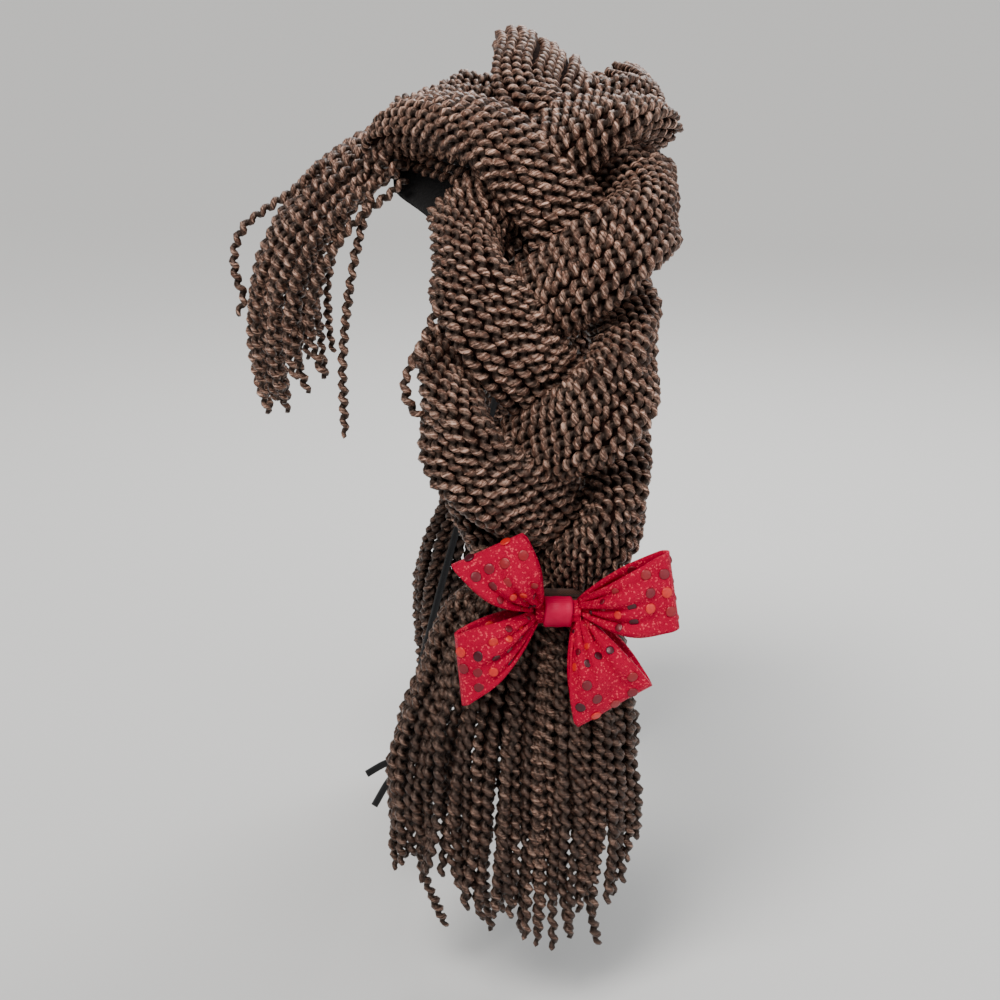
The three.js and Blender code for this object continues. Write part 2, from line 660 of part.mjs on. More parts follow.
// The satin band round the bow's middle
function knotBandSolid() {
  const inner = KNOT_BAND.coreRadius + GAP;
  const outer = inner + KNOT_BAND.cloth;
  const half = KNOT_BAND.width / 2;
  const profile = [[inner, -half], [outer, -half], [outer, half], [inner, half], [inner, -half]];
  const ring = new THREE.LatheGeometry(profile.map(([r, y]) => new THREE.Vector2(r, y)), 18);
  return solidOfGeometry(ring, new THREE.Matrix4().makeTranslation(BOW_PLACE));
}

// The elastic and its knot

function elasticCurve() {
  const left = ELASTIC_POINTS.map((p) => new THREE.Vector3(...p));
  const right = left.slice(0, -1).reverse().map((p) => p.clone().setX(-p.x));
  return new THREE.CatmullRomCurve3([...left, ...right], false, "centripetal");
}

function elasticSolid(grow) {
  const curve = elasticCurve();
  const steps = Math.round(curve.getLength() / ELASTIC.step);
  const section = new THREE.Shape(
    Array.from({ length: ELASTIC.sides }, (_, i) => {
      const turn = (2 * Math.PI * i) / ELASTIC.sides;
      return new THREE.Vector2(Math.cos(turn), Math.sin(turn)).multiplyScalar(ELASTIC.diameter / 2 + grow);
    }),
  );
  return solidOfGeometry(new THREE.ExtrudeGeometry(section, { steps, bevelEnabled: false, extrudePath: curve }));
}

function knotSolid() {
  const middle = new THREE.Vector3(...KNOT_PLACE);
  const ball = new THREE.SphereGeometry(ELASTIC.knotRadius, 8, 6);
  const lump = solidOfGeometry(ball, new THREE.Matrix4().makeTranslation(middle));
  const ends = KNOT_ENDS.map((end) => {
    const tip = middle.clone().add(new THREE.Vector3(...end));
    const start = middle.clone().lerp(tip, 0.15);
    const sag = middle.clone().lerp(tip, 0.6).add(new THREE.Vector3(0, 0, 0.6));
    return tube([start, sag, tip], [1, 1, 1].map(() => ELASTIC.diameter / 2), ELASTIC.sides);
  });
  return mainBody(joined([lump, ...ends]).subtract(elasticSolid(GAP)));
}

// Putting the pieces together

const felt = feltWall(0, FELT.wall, 0);
const bundles = [];
// Nothing but the felt reaches into the room of the head and the felt.
const feltRoom = feltWall(-GAP, FELT.wall + GAP, GAP);
let bundleRoom = feltWall(-FELT.headCut, FELT.wall, FELT.overhang).add(feltRoom);
for (let bundle = 0; bundle < 3; bundle += 1) {
  bundles.push(mainBody(bundleSolid(bundle, 0).subtract(bundleRoom)));
  bundleRoom = bundleRoom.add(bundleSolid(bundle, CUT));
}
const fringe = mainBody(fringeSolid().subtract(bundleRoom));
const bow = bowSolid();
const knotBand = knotBandSolid();
const elastic = elasticSolid(0);

const wig = new THREE.Group();
wig.name = "braid_wig";
wig.add(meshOf("felt_band", felt, FELT_CLOTH));
bundles.forEach((solid, i) => wig.add(meshOf(`yarn_bundle_${i + 1}`, solid, YARN)));
wig.add(meshOf("fringe", fringe, YARN));
for (const [side, placed] of [["left", (solid) => solid], ["right", mirrored]]) {
  const tassel = placed(tasselSolid().subtract(tieSolid(GAP)));
  wig.add(meshOf(`tassel_${side}`, mainBody(tassel.subtract(bundleRoom)), YARN));
  wig.add(meshOf(`tie_${side}`, mainBody(placed(tieSolid(0)).subtract(bundleRoom)), RUBBER));
  wig.add(meshOf(`bow_ribbon_${side}`, placed(bow), GLITTER));
  wig.add(meshOf(`bow_band_${side}`, placed(knotBand), SATIN));
}
wig.add(meshOf("chin_elastic", elastic, RUBBER));
wig.add(meshOf("elastic_knot", knotSolid(), RUBBER));

export default wig;
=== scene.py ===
# A braid wig: three bundles of glossy twisted yarn plaited over the crown, tied off under ribbon bows.
# Shapes are worked out in millimetres, in the CAD's frame, and turned into metres when a mesh is made.
import math

import bpy
import numpy as np
from mathutils import Matrix, Vector, noise


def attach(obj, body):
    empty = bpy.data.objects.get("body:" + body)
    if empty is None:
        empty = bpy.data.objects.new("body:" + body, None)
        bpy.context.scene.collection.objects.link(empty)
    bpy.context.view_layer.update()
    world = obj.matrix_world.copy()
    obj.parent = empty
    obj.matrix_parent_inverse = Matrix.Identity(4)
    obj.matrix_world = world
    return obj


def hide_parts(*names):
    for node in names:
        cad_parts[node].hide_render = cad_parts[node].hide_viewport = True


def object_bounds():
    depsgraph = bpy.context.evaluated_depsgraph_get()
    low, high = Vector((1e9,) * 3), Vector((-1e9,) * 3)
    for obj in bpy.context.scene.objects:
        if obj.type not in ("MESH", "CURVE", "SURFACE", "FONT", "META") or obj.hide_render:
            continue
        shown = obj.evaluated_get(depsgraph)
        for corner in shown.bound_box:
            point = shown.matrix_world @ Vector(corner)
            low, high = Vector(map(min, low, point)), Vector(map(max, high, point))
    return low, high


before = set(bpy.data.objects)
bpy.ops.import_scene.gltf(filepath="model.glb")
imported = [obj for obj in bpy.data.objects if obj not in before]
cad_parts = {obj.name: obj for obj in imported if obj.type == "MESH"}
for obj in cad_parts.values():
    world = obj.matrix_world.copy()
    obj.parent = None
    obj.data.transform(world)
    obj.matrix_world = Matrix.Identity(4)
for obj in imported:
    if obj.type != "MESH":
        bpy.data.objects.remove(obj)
CAD_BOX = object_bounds()
MM = 0.001

# Sizes, the same as the CAD's

GAP = 0.3
HEAD_HALF_WIDTH = 72.0
HEAD_HALF_LENGTH = 88.0
HEAD_DOME = 88.0
PLAIT_RUN = 206.0
PLAIT_PITCH = 135.0
FIRST_LOBE = 37.0
LEAD = 0.3
SETTLE = 15.0
PLAIT_HALF = 46.0
CREST = 6.0
HUMP = 13.0
REST_DROP = 6.0
REST_SQUEEZE = 0.28
REST_RUN = 80.0
TILT = 0.7
BUNDLE_WIDE = 14.8
BUNDLE_THICK = 10.0
FELT_WALL = 2.0
FELT_HALF = 41.0
TIE_WALL = 2.0
TASSEL_LENGTH = 104.0
TASSEL_SPREAD = 31.0
TASSEL_LOCK = 6.6
TASSEL_DRIFT = -10.0
TASSEL_FULL = 165.0  # angle round the tie, where the tassel is fullest
TASSEL_BIAS = -14.0  # most that a yarn moves towards it
TASSEL_TUCK = 0.3  # share by which the yarns at its back spread less
FRINGE_LENGTH = 96.0
FRINGE_HALF_SPAN = 38.0
FRINGE_BAR = 6.5
FRINGE_END_OFF = 3.0
FRINGE_PUFF = 6.0
RIBBON_WIDTH = 25.0
RIBBON_CLOTH = 1.0
RIBBON_FOLD = 2.4
RIBBON_LEAN = 9.0
RIBBON_PUFF = 5.5
RIBBON_GATHER = 0.9
RIBBON_FULL = 0.14  # how much fuller a loop is halfway than straight edges make it
BAND_WIDTH = 8.2
BAND_CLOTH = 1.0
BAND_CORE = 3.5
ELASTIC_THICK = 2.6

# Sizes of the yarn itself

YARN_RADIUS = 1.85  # overall, of which the swing is what its ply winds round
YARN_SWING = 0.7
YARN_TURN = 4.1  # length of one turn
YARN_UNEVEN = 0.07  # of the ply's radius, where its fibres stand off
YARN_SWELL = 0.07  # of its size, along it
YARN_TIP = 5.0  # length in which a free end thins
FIBRE_TWIST = 0.9  # radians a millimetre
STRAND_LEAST = 5  # points
TURN_RINGS = 6
INNER_RINGS = 4  # for the yarns further inside a tassel
PLY_SIDES = 5
BUNDLE_STRANDS = 22
TASSEL_STRANDS = 138
FRINGE_STRANDS = 46

# Each bundle's course at the crown: radians ahead, shift and lift, all even to one share of PLAIT_RUN
# and gone at the next
CROWN_COLUMNS = ("ahead", "shift", "lift", "even", "until")
CROWN_ROWS = (
    (0.75, 0.0, -0.6, 0.0, 0.22),
    (1.15, -0.15, 0.25, 0.22, 0.56),
    (1.7, 0.0, 0.0, 0.0, 0.27),
)

# Share of PLAIT_RUN, the plait's half width and shift, and the bundle's half sizes, depth,
# roundness and hump there
PLAIT_COLUMNS = ("run", "half", "shift", "wide", "thick", "depth", "round", "hump")
PLAIT_ROWS = (
    (0.0, 0.76, -0.1, 1.34, 0.86, 0.55, 0.2, 1),
    (0.12, 0.86, -0.1, 1.26, 0.86, 0.55, 0.3, 0.92),
    (0.24, 0.97, -0.12, 1.14, 0.92, 0.6, 0.3, 0.54),
    (0.35, 0.86, -0.02, 1.08, 1.1, 0.65, 0.25, 0.08),
    (0.46, 0.79, 0.03, 1.05, 1.06, 0.75, 0.2, 0),
    (0.56, 0.74, -0.03, 1.03, 1.0, 0.8, 0.15, 0),
    (0.665, 0.74, -0.08, 1.0, 1.0, 0.85, 0.1, 0),
    (0.77, 0.73, -0.08, 1.0, 1.0, 0.85, 0.1, 0),
    (0.88, 0.63, -0.02, 0.94, 0.94, 0.8, 0.1, 0),
    (1.0, 0.34, 0.05, 0.62, 0.65, 0.5, 0.1, 0),
)
# Share of PLAIT_RUN, and the felt's two edges there, in FELT_HALF
FELT_COLUMNS = ("run", "front", "back")
FELT_ROWS = (
    (0.0, -1.14, 0.84),
    (0.12, -1.16, 0.86),
    (0.24, -1.16, 0.88),
    (0.34, -0.92, 0.7),
    (0.43, -0.62, 0.34),
    (0.48, -0.44, 0.06),
)
# Angle round the tie, spread, rise and length of the tassel's yarns there
TASSEL_ROWS = (
    (0, 0.36, 0.05, 0.76),
    (35, 0.36, 0.05, 0.9),
    (70, 0.36, 0.1, 0.97),
    (100, 0.4, 0.12, 1.0),
    (128, 0.62, 0.18, 0.94),
    (152, 0.95, 0.3, 0.84),
    (175, 1.15, 0.36, 0.76),
    (200, 0.9, 0.25, 0.8),
    (232, 0.5, 0.1, 0.88),
    (270, 0.26, 0.05, 0.92),
    (315, 0.3, 0.05, 0.86),
    (360, 0.36, 0.05, 0.76),
)
# Place across the forehead, length and stand-off of the fringe's yarns there
FRINGE_ROWS = (
    (-0.96, 0.72, 0.75),
    (-0.72, 0.8, 0.9),
    (-0.48, 0.9, 1.0),
    (-0.24, 0.98, 1.05),
    (0.0, 1.0, 1.05),
    (0.24, 0.96, 1.05),
    (0.48, 0.84, 1.0),
    (0.72, 0.76, 0.9),
    (0.96, 0.68, 0.75),
)
# The two corners of each ribbon loop's outer fold, in ribbon widths
LOOP_ROWS = (
    (-1.16, 0.6, -0.36, 0.98),
    (-1.02, -0.98, -1.1, -0.1),
    (1.03, -0.68, 0.18, -1.2),
    (1.28, -0.1, 1.14, 0.82),
)
# The elastic's left half, from under the felt to below the chin
ELASTIC_POINTS = (
    (66.4, -7.9, -50.9),
    (69.3, -8.6, -60.8),
    (71.3, -9.6, -72.7),
    (72.3, -11.5, -88.0),
    (72.0, -15.0, -106.0),
    (69.5, -21.0, -129.0),
    (63.5, -29.0, -154.0),
    (53.5, -36.5, -179.0),
    (39.5, -43.0, -202.0),
    (21.5, -47.5, -218.0),
    (0.0, -49.0, -224.0),
)
KNOT_AT = 9  # the point of these that the knot sits at
KNOT_ENDS = ((6.5, -13.0, -3.5), (8.5, -10.5, -14.5))


# Camera, at the photograph's view

def make_camera():
    target = Vector((0.0, -14.66, -131.5)) * MM
    back = Vector((0.961, 0.0, 0.276)).normalized()
    right = Vector((0.0, 1.0, 0.0))
    up = back.cross(right)
    data = bpy.data.cameras.new("camera")
    data.sensor_width = 36.0
    data.lens = 67.8
    data.clip_start = 0.01
    camera = bpy.data.objects.new("camera", data)
    bpy.context.scene.collection.objects.link(camera)
    turn = Matrix((right, up, back)).transposed().to_4x4()
    camera.matrix_world = Matrix.Translation(target + back * 0.65) @ turn
    bpy.context.scene.camera = camera


make_camera()


# Materials

def new_material(name):
    material = bpy.data.materials.new(name)
    material.use_nodes = True
    tree = material.node_tree
    return material, tree, tree.nodes["Principled BSDF"]


def feed(tree, socket, value):
    """Give a socket a link from another node's output, or a plain value."""
    if hasattr(value, "is_output"):
        tree.links.new(value, socket)
    else:
        socket.default_value = value


def node(tree, kind, **values):
    made = tree.nodes.new(f"ShaderNode{kind}")
    for name, value in values.items():
        if hasattr(made, name):
            setattr(made, name, value)
        else:
            feed(tree, made.inputs[name.replace("_", " ")], value)
    return made


def noise_at(tree, place, scale, detail, roughness=0.5):
    made = node(tree, "TexNoise", Vector=place, Scale=scale, Detail=detail, Roughness=roughness)
    return made.outputs["Fac"]


def waves_at(tree, place, way, scale, **values):
    made = node(tree, "TexWave", Vector=place, bands_direction=way, Scale=scale, **values)
    return made.outputs["Fac"]


def cells_at(tree, place, scale):
    return node(tree, "TexVoronoi", Vector=place, Scale=scale, Randomness=1.0)


def surface_place(tree):
    return node(tree, "NewGeometry").outputs["Position"]


def attribute(tree, name, output="Fac"):
    return node(tree, "Attribute", attribute_name=name).outputs[output]


def mix_colour(tree, amount, first, second, blend="MIX"):
    made = node(tree, "Mix", data_type="RGBA", blend_type=blend)
    for place, value in ((0, amount), (6, first), (7, second)):
        feed(tree, made.inputs[place], value)
    return made.outputs[2]


def ramp(tree, source, stops):
    made = node(tree, "ValToRGB", Fac=source)
    while len(made.color_ramp.elements) < len(stops):
        made.color_ramp.elements.new(0.5)
    for element, (place, colour) in zip(made.color_ramp.elements, stops):
        element.position = place
        element.color = colour
    return made.outputs[0]


def grey_ramp(tree, source, *stops):
    return ramp(tree, source, [(place, (value, value, value, 1)) for place, value in stops])


def combine(tree, operation, first, second):
    made = node(tree, "Math", operation=operation)
    feed(tree, made.inputs[0], first)
    feed(tree, made.inputs[1], second)
    return made.outputs[0]


def share_of(tree, value, share):
    return combine(tree, "MULTIPLY", value, share)


def finish_shader(tree, shader, height, strength, distance, **values):
    """Bump from a height, and the values of the shader's own sockets."""
    bump = node(tree, "Bump", Strength=strength, Distance=distance, Height=height)
    feed(tree, shader.inputs["Normal"], bump.outputs["Normal"])
    for name, value in values.items():
        feed(tree, shader.inputs[name.replace("_", " ")], value)


def yarn_material():
    material, tree, shader = new_material("twisted_yarn")
    fibre = attribute(tree, "fibre", "Vector")
    fine = noise_at(tree, fibre, 1.35, 3.0, 0.7)
    coarse = noise_at(tree, fibre, 0.6, 2.0)
    streak = grey_ramp(tree, fine, (0.42, 0), (0.56, 1))
    patch = grey_ramp(tree, coarse, (0.4, 0), (0.62, 1))
    # Painted highlight: light tan glints on the brightest fibres
    painted_glint = grey_ramp(tree, fine, (0.515, 0), (0.58, 1))
    body = mix_colour(tree, streak, (0.024, 0.0095, 0.0065, 1), (0.27, 0.123, 0.08, 1))
    body = mix_colour(tree, share_of(tree, patch, 0.35), body, (0.36, 0.175, 0.12, 1))
    # The painted highlight, mixed into the yarn's colour
    body = mix_colour(tree, share_of(tree, painted_glint, 0.9), body, (0.95, 0.6, 0.45, 1))
    # Yarn tone and painted shade: darker at random from yarn to yarn, and painted shade that darkens the
    # lower plait and the tassels
    body = mix_colour(tree, attribute(tree, "shade"), body, (0.01, 0.0035, 0.0025, 1))
    # Painted shade in the yarn's valleys: the ply's side towards the yarn's middle is darkened
    valley_painted_shade = grey_ramp(tree, attribute(tree, "crest"), (0.6, 0.05), (0.84, 0.36), (1.0, 1))
    body = mix_colour(tree, 1.0, body, valley_painted_shade, "MULTIPLY")
    rough = node(tree, "MapRange", Value=fine, To_Min=0.26, To_Max=0.46).outputs["Result"]
    finish_shader(
        tree, shader, fine, 0.9, 0.0004,
        Base_Color=body,
        Roughness=rough,
        Specular_IOR_Level=0.55,
        Specular_Tint=(1.0, 0.72, 0.6, 1),
        Sheen_Weight=0.05,
        Sheen_Roughness=0.3,
        Sheen_Tint=(0.95, 0.72, 0.62, 1),
    )
    return material


def heart_shade_material():
    """The yarns deeper inside, of which only a dark gap shows: painted shade, near-black."""
    material, tree, shader = new_material("deep_yarn_painted_shade")
    fine = noise_at(tree, surface_place(tree), 600.0, 3.0)
    colour = mix_colour(tree, fine, (0.005, 0.002, 0.0015, 1), (0.022, 0.009, 0.007, 1))
    finish_shader(
        tree, shader, fine, 0.8, 0.0008,
        Base_Color=colour,
        Roughness=1.0,
        Specular_IOR_Level=0.05,
    )
    return material


def felt_material():
    material, tree, shader = new_material("black_felt")
    place = surface_place(tree)
    fine = noise_at(tree, place, 1400.0, 4.0, 0.7)
    patch = noise_at(tree, place, 120.0, 3.0, 0.6)
    colour = mix_colour(tree, fine, (0.002, 0.002, 0.0022, 1), (0.013, 0.012, 0.0125, 1))
    colour = mix_colour(tree, share_of(tree, patch, 0.5), colour, (0.006, 0.005, 0.005, 1))
    finish_shader(
        tree, shader, fine, 0.8, 0.0006,
        Base_Color=colour,
        Roughness=1.0,
        Specular_IOR_Level=0.15,
        Sheen_Weight=0.06,
        Sheen_Roughness=0.6,
    )
    return material


def glitter_material():
    material, tree, shader = new_material("glitter_ribbon")
    weave = attribute(tree, "weave", "Vector")
    place = surface_place(tree)
    cells = cells_at(tree, place, 2600.0).outputs["Distance"]
    spark = cells_at(tree, place, 2100.0).outputs["Color"]
    threads = waves_at(tree, weave, "X", 2.1, Distortion=1.2, Detail=2.0)
    cross = waves_at(tree, weave, "Y", 1.5, Distortion=1.5, Detail=2.0)
    knit = combine(tree, "MULTIPLY", threads, cross)
    colour = mix_colour(tree, knit, (0.4, 0.0, 0.03, 1), (0.93, 0.0, 0.062, 1))
    tint = node(tree, "SeparateColor", Color=spark)
    # Painted highlight: a few glitter cells are painted bright pink as sparkles
    painted_glint = grey_ramp(tree, tint.outputs["Red"], (0.86, 0), (0.9, 1))
    colour = mix_colour(tree, share_of(tree, painted_glint, 0.7), colour, (1.0, 0.08, 0.12, 1))
    rough = grey_ramp(tree, tint.outputs["Green"], (0.1, 0.25), (0.9, 0.6))
    height = combine(tree, "ADD", knit, share_of(tree, cells, 0.8))
    finish_shader(
        tree, shader, height, 0.7, 0.0003,
        Base_Color=colour,
        Roughness=rough,
        Specular_IOR_Level=0.2,
        Specular_Tint=(1.0, 0.3, 0.35, 1),
    )
    return material


def dot_material():
    material, tree, shader = new_material("ribbon_dots")
    fine = noise_at(tree, surface_place(tree), 1100.0, 2.0)
    # Here only the dots' own tone, from dark maroon to orange-red
    colour = ramp(tree, attribute(tree, "shade"), (
        (0.0, (0.055, 0.0, 0.006, 1)),
        (0.5, (0.24, 0.003, 0.014, 1)),
        (1.0, (0.74, 0.02, 0.012, 1)),
    ))
    colour = mix_colour(tree, share_of(tree, fine, 0.5), colour, (0.05, 0.0, 0.006, 1))
    finish_shader(
        tree, shader, fine, 0.4, 0.0003,
        Base_Color=colour,
        Metallic=0.15,
        Roughness=0.38,
    )
    return material


def satin_material():
    material, tree, shader = new_material("red_satin")
    place = surface_place(tree)
    broad = noise_at(tree, place, 260.0, 2.0)
    weft = waves_at(tree, place, "Z", 900.0, Distortion=0.6, Detail=1.0)
    colour = mix_colour(tree, broad, (0.36, 0.0, 0.03, 1), (0.56, 0.0, 0.055, 1))
    finish_shader(
        tree, shader, weft, 0.25, 0.0002,
        Base_Color=colour,
        Roughness=0.4,
        Specular_IOR_Level=0.3,
        Specular_Tint=(1.0, 0.4, 0.5, 1),
    )
    return material


def elastic_material(name, dark, light):
    material, tree, shader = new_material(name)
    weave = attribute(tree, "weave", "Vector")
    cover = waves_at(tree, weave, "DIAGONAL", 1.0, Distortion=0.3)
    fine = noise_at(tree, weave, 2.5, 3.0)
    colour = mix_colour(tree, cover, dark, light)
    colour = mix_colour(tree, share_of(tree, fine, 0.5), colour, dark)
    finish_shader(
        tree, shader, cover, 0.7, 0.0003,
        Base_Color=colour,
        Roughness=0.6,
        Specular_IOR_Level=0.3,
        Sheen_Weight=0.05,
    )
    return material


YARN = yarn_material()
HEART_PAINTED_SHADE = heart_shade_material()
FELT = felt_material()
GLITTER = glitter_material()
DOTS = dot_material()
SATIN = satin_material()
ELASTIC = elastic_material("covered_elastic", (0.002, 0.002, 0.0025, 1), (0.014, 0.014, 0.016, 1))
TIE = elastic_material("brown_elastic", (0.02, 0.0085, 0.0055, 1), (0.13, 0.056, 0.037, 1))


# Meshes

VECTORS = ("fibre", "weave")


class Parts:
    """Vertices, faces and attributes of one piece, gathered in parts."""

    def __init__(self):
        self.points = []
        self.faces = {4: [], 3: []}
        self.extra = {"shade": [], "crest": [], "fibre": [], "weave": []}
        self.count = 0

    def add(self, points, quads=(), triangles=(), slot=0, **extra):
        points = np.asarray(points, dtype=float).reshape(-1, 3)
        n = len(points)
        self.points.append(points)
        for faces, corners in ((quads, 4), (triangles, 3)):
            faces = np.asarray(faces, dtype=int).reshape(-1, corners)
            if len(faces):
                self.faces[corners].append((faces + self.count, slot))
        for name, values in self.extra.items():
            wide = name in VECTORS
            given = np.asarray(extra.get(name, points if wide else 0.0), dtype=float)
            values.append(np.broadcast_to(given, (n, 3) if wide else (n,)))
        self.count += n

    def mesh(self, name, materials):
        faces = self.faces[4] + self.faces[3]
        sizes = np.concatenate([np.full(len(f), f.shape[1]) for f, _ in faces])
        mesh = bpy.data.meshes.new(name)
        mesh.vertices.add(self.count)
        mesh.vertices.foreach_set("co", (np.concatenate(self.points) * MM).ravel())
        mesh.loops.add(int(sizes.sum()))
        mesh.loops.foreach_set("vertex_index", np.concatenate([f.ravel() for f, _ in faces]))
        mesh.polygons.add(len(sizes))
        mesh.polygons.foreach_set("loop_start", np.concatenate(([0], np.cumsum(sizes)[:-1])))
        for material in materials:
            mesh.materials.append(material)
        slots = np.concatenate([np.full(len(f), slot) for f, slot in faces])
        mesh.polygons.foreach_set("material_index", slots)
        mesh.polygons.foreach_set("use_smooth", np.full(len(sizes), True))
        for attribute_name, values in self.extra.items():
            wide = attribute_name in VECTORS
            layer = mesh.attributes.new(attribute_name, "FLOAT_VECTOR" if wide else "FLOAT", "POINT")
            layer.data.foreach_set("vector" if wide else "value", np.concatenate(values).ravel())
        mesh.update(calc_edges=True)
        mesh.validate()
        return mesh

    def make(self, name, materials, stands_for, mirrored=False):
        """The piece, in place of a CAD node, which it hides, and in the materials given."""
        mesh = self.mesh(name, materials)
        if mirrored:
            mesh.transform(Matrix.Diagonal((-1, 1, 1, 1)))
            mesh.flip_normals()
        piece = bpy.data.objects.new(name, mesh)
        bpy.context.scene.collection.objects.link(piece)
        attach(piece, "root")
        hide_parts(stands_for)
        return piece


def full_turn(count):
    return np.linspace(0, 2 * math.pi, count, endpoint=False)


def ring_quads(rings, count, closed=False):
    a = np.arange(count)
    b = (a + 1) % count
    faces = []
    for r in range(rings if closed else rings - 1):
        low = r * count
        high = ((r + 1) % rings) * count
        faces.append(np.stack((low + a, low + b, high + b, high + a), axis=1))
    return np.concatenate(faces)


def ring_caps(rings, count):
    base = (rings - 1) * count
    first = [(0, i + 1, i) for i in range(1, count - 1)]
    last = [(base, base + i, base + i + 1) for i in range(1, count - 1)]
    return first + last


def unit(vectors):
    return vectors / np.maximum(np.linalg.norm(vectors, axis=-1, keepdims=True), 1e-9)


def rings_round(path, side, other, reach, turn):
    """A ring of points round each point of a path."""
    aside = side[:, None, :] * np.cos(turn)[None, :, None]
    return path[:, None, :] + reach * (aside + other[:, None, :] * np.sin(turn)[None, :, None])


def even_path(points, step):
    """The path again, with points an even step apart, and the length at each."""
    gaps = np.linalg.norm(np.diff(points, axis=0), axis=1)
    lengths = np.concatenate(([0.0], np.cumsum(gaps)))
    count = max(2, int(round(lengths[-1] / step)) + 1)
    places = np.linspace(0, lengths[-1], count)
    return np.stack([np.interp(places, lengths, points[:, k]) for k in range(3)], axis=1), places


def path_frames(points):
    """Along, side and other at each point of a path, without twist."""
    ahead = np.vstack((points[1:], points[-1:]))
    behind = np.vstack((points[:1], points[:-1]))
    along = unit(ahead - behind)
    start = np.array((0.31, 0.2, 0.93))
    side = np.cross(start, along[0])
    sides = []
    for way in along:
        side = side - way * np.dot(side, way)
        side = side / math.sqrt(np.dot(side, side))
        sides.append(side)
    sides = np.array(sides)
    return along, sides, np.cross(along, sides)


def smooth_path(points, per_gap=8):
    """A smooth curve through a few chosen points."""
    points = np.asarray(points, dtype=float)
    padded = np.vstack((2 * points[0] - points[1], points, 2 * points[-1] - points[-2]))
    found = []
    for i in range(len(points) - 1):
        a, b, c, d = padded[i : i + 4]
        for u in np.linspace(0, 1, per_gap, endpoint=False):
            curve = (2 * a - 5 * b + 4 * c - d) * u**2 + (3 * b - a - 3 * c + d) * u**3
            found.append(0.5 * (2 * b + (c - a) * u + curve))
    found.append(points[-1])
    return np.array(found)


def along_path(values, count):
    """One value, or a few spread evenly along the path, at each of its points."""
    values = np.atleast_1d(np.asarray(values, dtype=float))
    if len(values) == 1:
        values = np.resize(values, 2)
    return np.interp(np.linspace(0, 1, count), np.linspace(0, 1, len(values)), values)


def add_strand(parts, points, rng, radius=YARN_RADIUS, shade=0.0, taper=0.0, rings=TURN_RINGS):
    """One twisted yarn along a path: a fat ply that winds round it, so that it shows as a row of beads."""
    path, lengths = even_path(points, YARN_TURN / rings)
    count = len(path)
    if count < STRAND_LEAST:
        return
    along, side, other = path_frames(path)
    swell = 1 + YARN_SWELL * np.sin(lengths * 0.4 + rng.uniform(0, 6))
    ending = np.clip(1 - (lengths[-1] - lengths) / YARN_TIP, 0, 1)
    size = along_path(radius, count) / YARN_RADIUS * swell * (1 - taper * ending)
    turn = rng.uniform(0, 2 * math.pi) - lengths * 2 * math.pi / YARN_TURN
    turn = turn + 0.5 * np.sin(lengths * 0.23 + rng.uniform(0, 6))
    away = side * np.cos(turn)[:, None] + other * np.sin(turn)[:, None]
    round_way = other * np.cos(turn)[:, None] - side * np.sin(turn)[:, None]
    swing = YARN_SWING * size
    ahead = unit(along - round_way * (swing * 2 * math.pi / YARN_TURN)[:, None])
    across = np.cross(ahead, away)
    ply = (YARN_RADIUS - YARN_SWING) * size
    middle = path + away * swing[:, None]
    phi = full_turn(PLY_SIDES)
    uneven = 1 + rng.normal(0, YARN_UNEVEN, (count, PLY_SIDES))
    ring = rings_round(middle, away, across, (ply[:, None] * uneven)[:, :, None], phi)
    reach = np.linalg.norm(ring - path[:, None, :], axis=-1) / (YARN_RADIUS * size[:, None])
    twist = phi[None, :] + lengths[:, None] * FIBRE_TWIST
    down = np.broadcast_to(lengths[:, None] * 0.35 + rng.uniform(0, 300), twist.shape)
    fibre = np.stack((1.2 * np.cos(twist), 1.2 * np.sin(twist), down), axis=-1)
    parts.add(
        ring,
        ring_quads(count, PLY_SIDES),
        ring_caps(count, PLY_SIDES),
        shade=np.repeat(along_path(shade, count), PLY_SIDES),
        # How far a point lies from the yarn's middle: the mask of the painted valley shade
        crest=np.clip((reach - 0.3) / 0.7, 0, 1).ravel(),
        fibre=fibre.reshape(-1, 3),
    )


# Curves of the plait, as in the CAD

def smooth_table(columns, rows):
    table = np.array(rows, dtype=float)
    keys = table[:, 0]
    last = len(keys) - 1
    low = np.clip(np.arange(len(keys)) - 1, 0, last)
    high = np.clip(np.arange(len(keys)) + 1, 0, last)
    slopes = (table[high] - table[low]) / (keys[high] - keys[low])[:, None]

    def at(value):
        value = np.asarray(value, dtype=float)
        i = np.clip(np.searchsorted(keys, value, side="left") - 1, 0, last - 1)
        width = keys[i + 1] - keys[i]
        u = np.clip((value - keys[i]) / width, 0, 1)
        found = {}
        for k, name in enumerate(columns[1:], start=1):
            start = slopes[i, k] * width
            end = slopes[i + 1, k] * width
            first, second = table[i, k], table[i + 1, k]
            bend = (2 * (first - second) + start + end) * u + 3 * (second - first) - 2 * start - end
            found[name] = first + start * u + bend * u * u
        return found

    return at


plait_row = smooth_table(PLAIT_COLUMNS, PLAIT_ROWS)
felt_row = smooth_table(FELT_COLUMNS, FELT_ROWS)


def plait_sizes(run):
    row = plait_row(np.asarray(run) / PLAIT_RUN)
    thick = row["thick"] * BUNDLE_THICK
    return {
        "wide": row["wide"] * BUNDLE_WIDE,
        "thick": thick,
        "depth": row["depth"] * BUNDLE_THICK,
        "round": row["round"],
        "hump": row["hump"],
        "sway": row["half"] * PLAIT_HALF - thick,
        "shift": row["shift"] * PLAIT_HALF,
    }


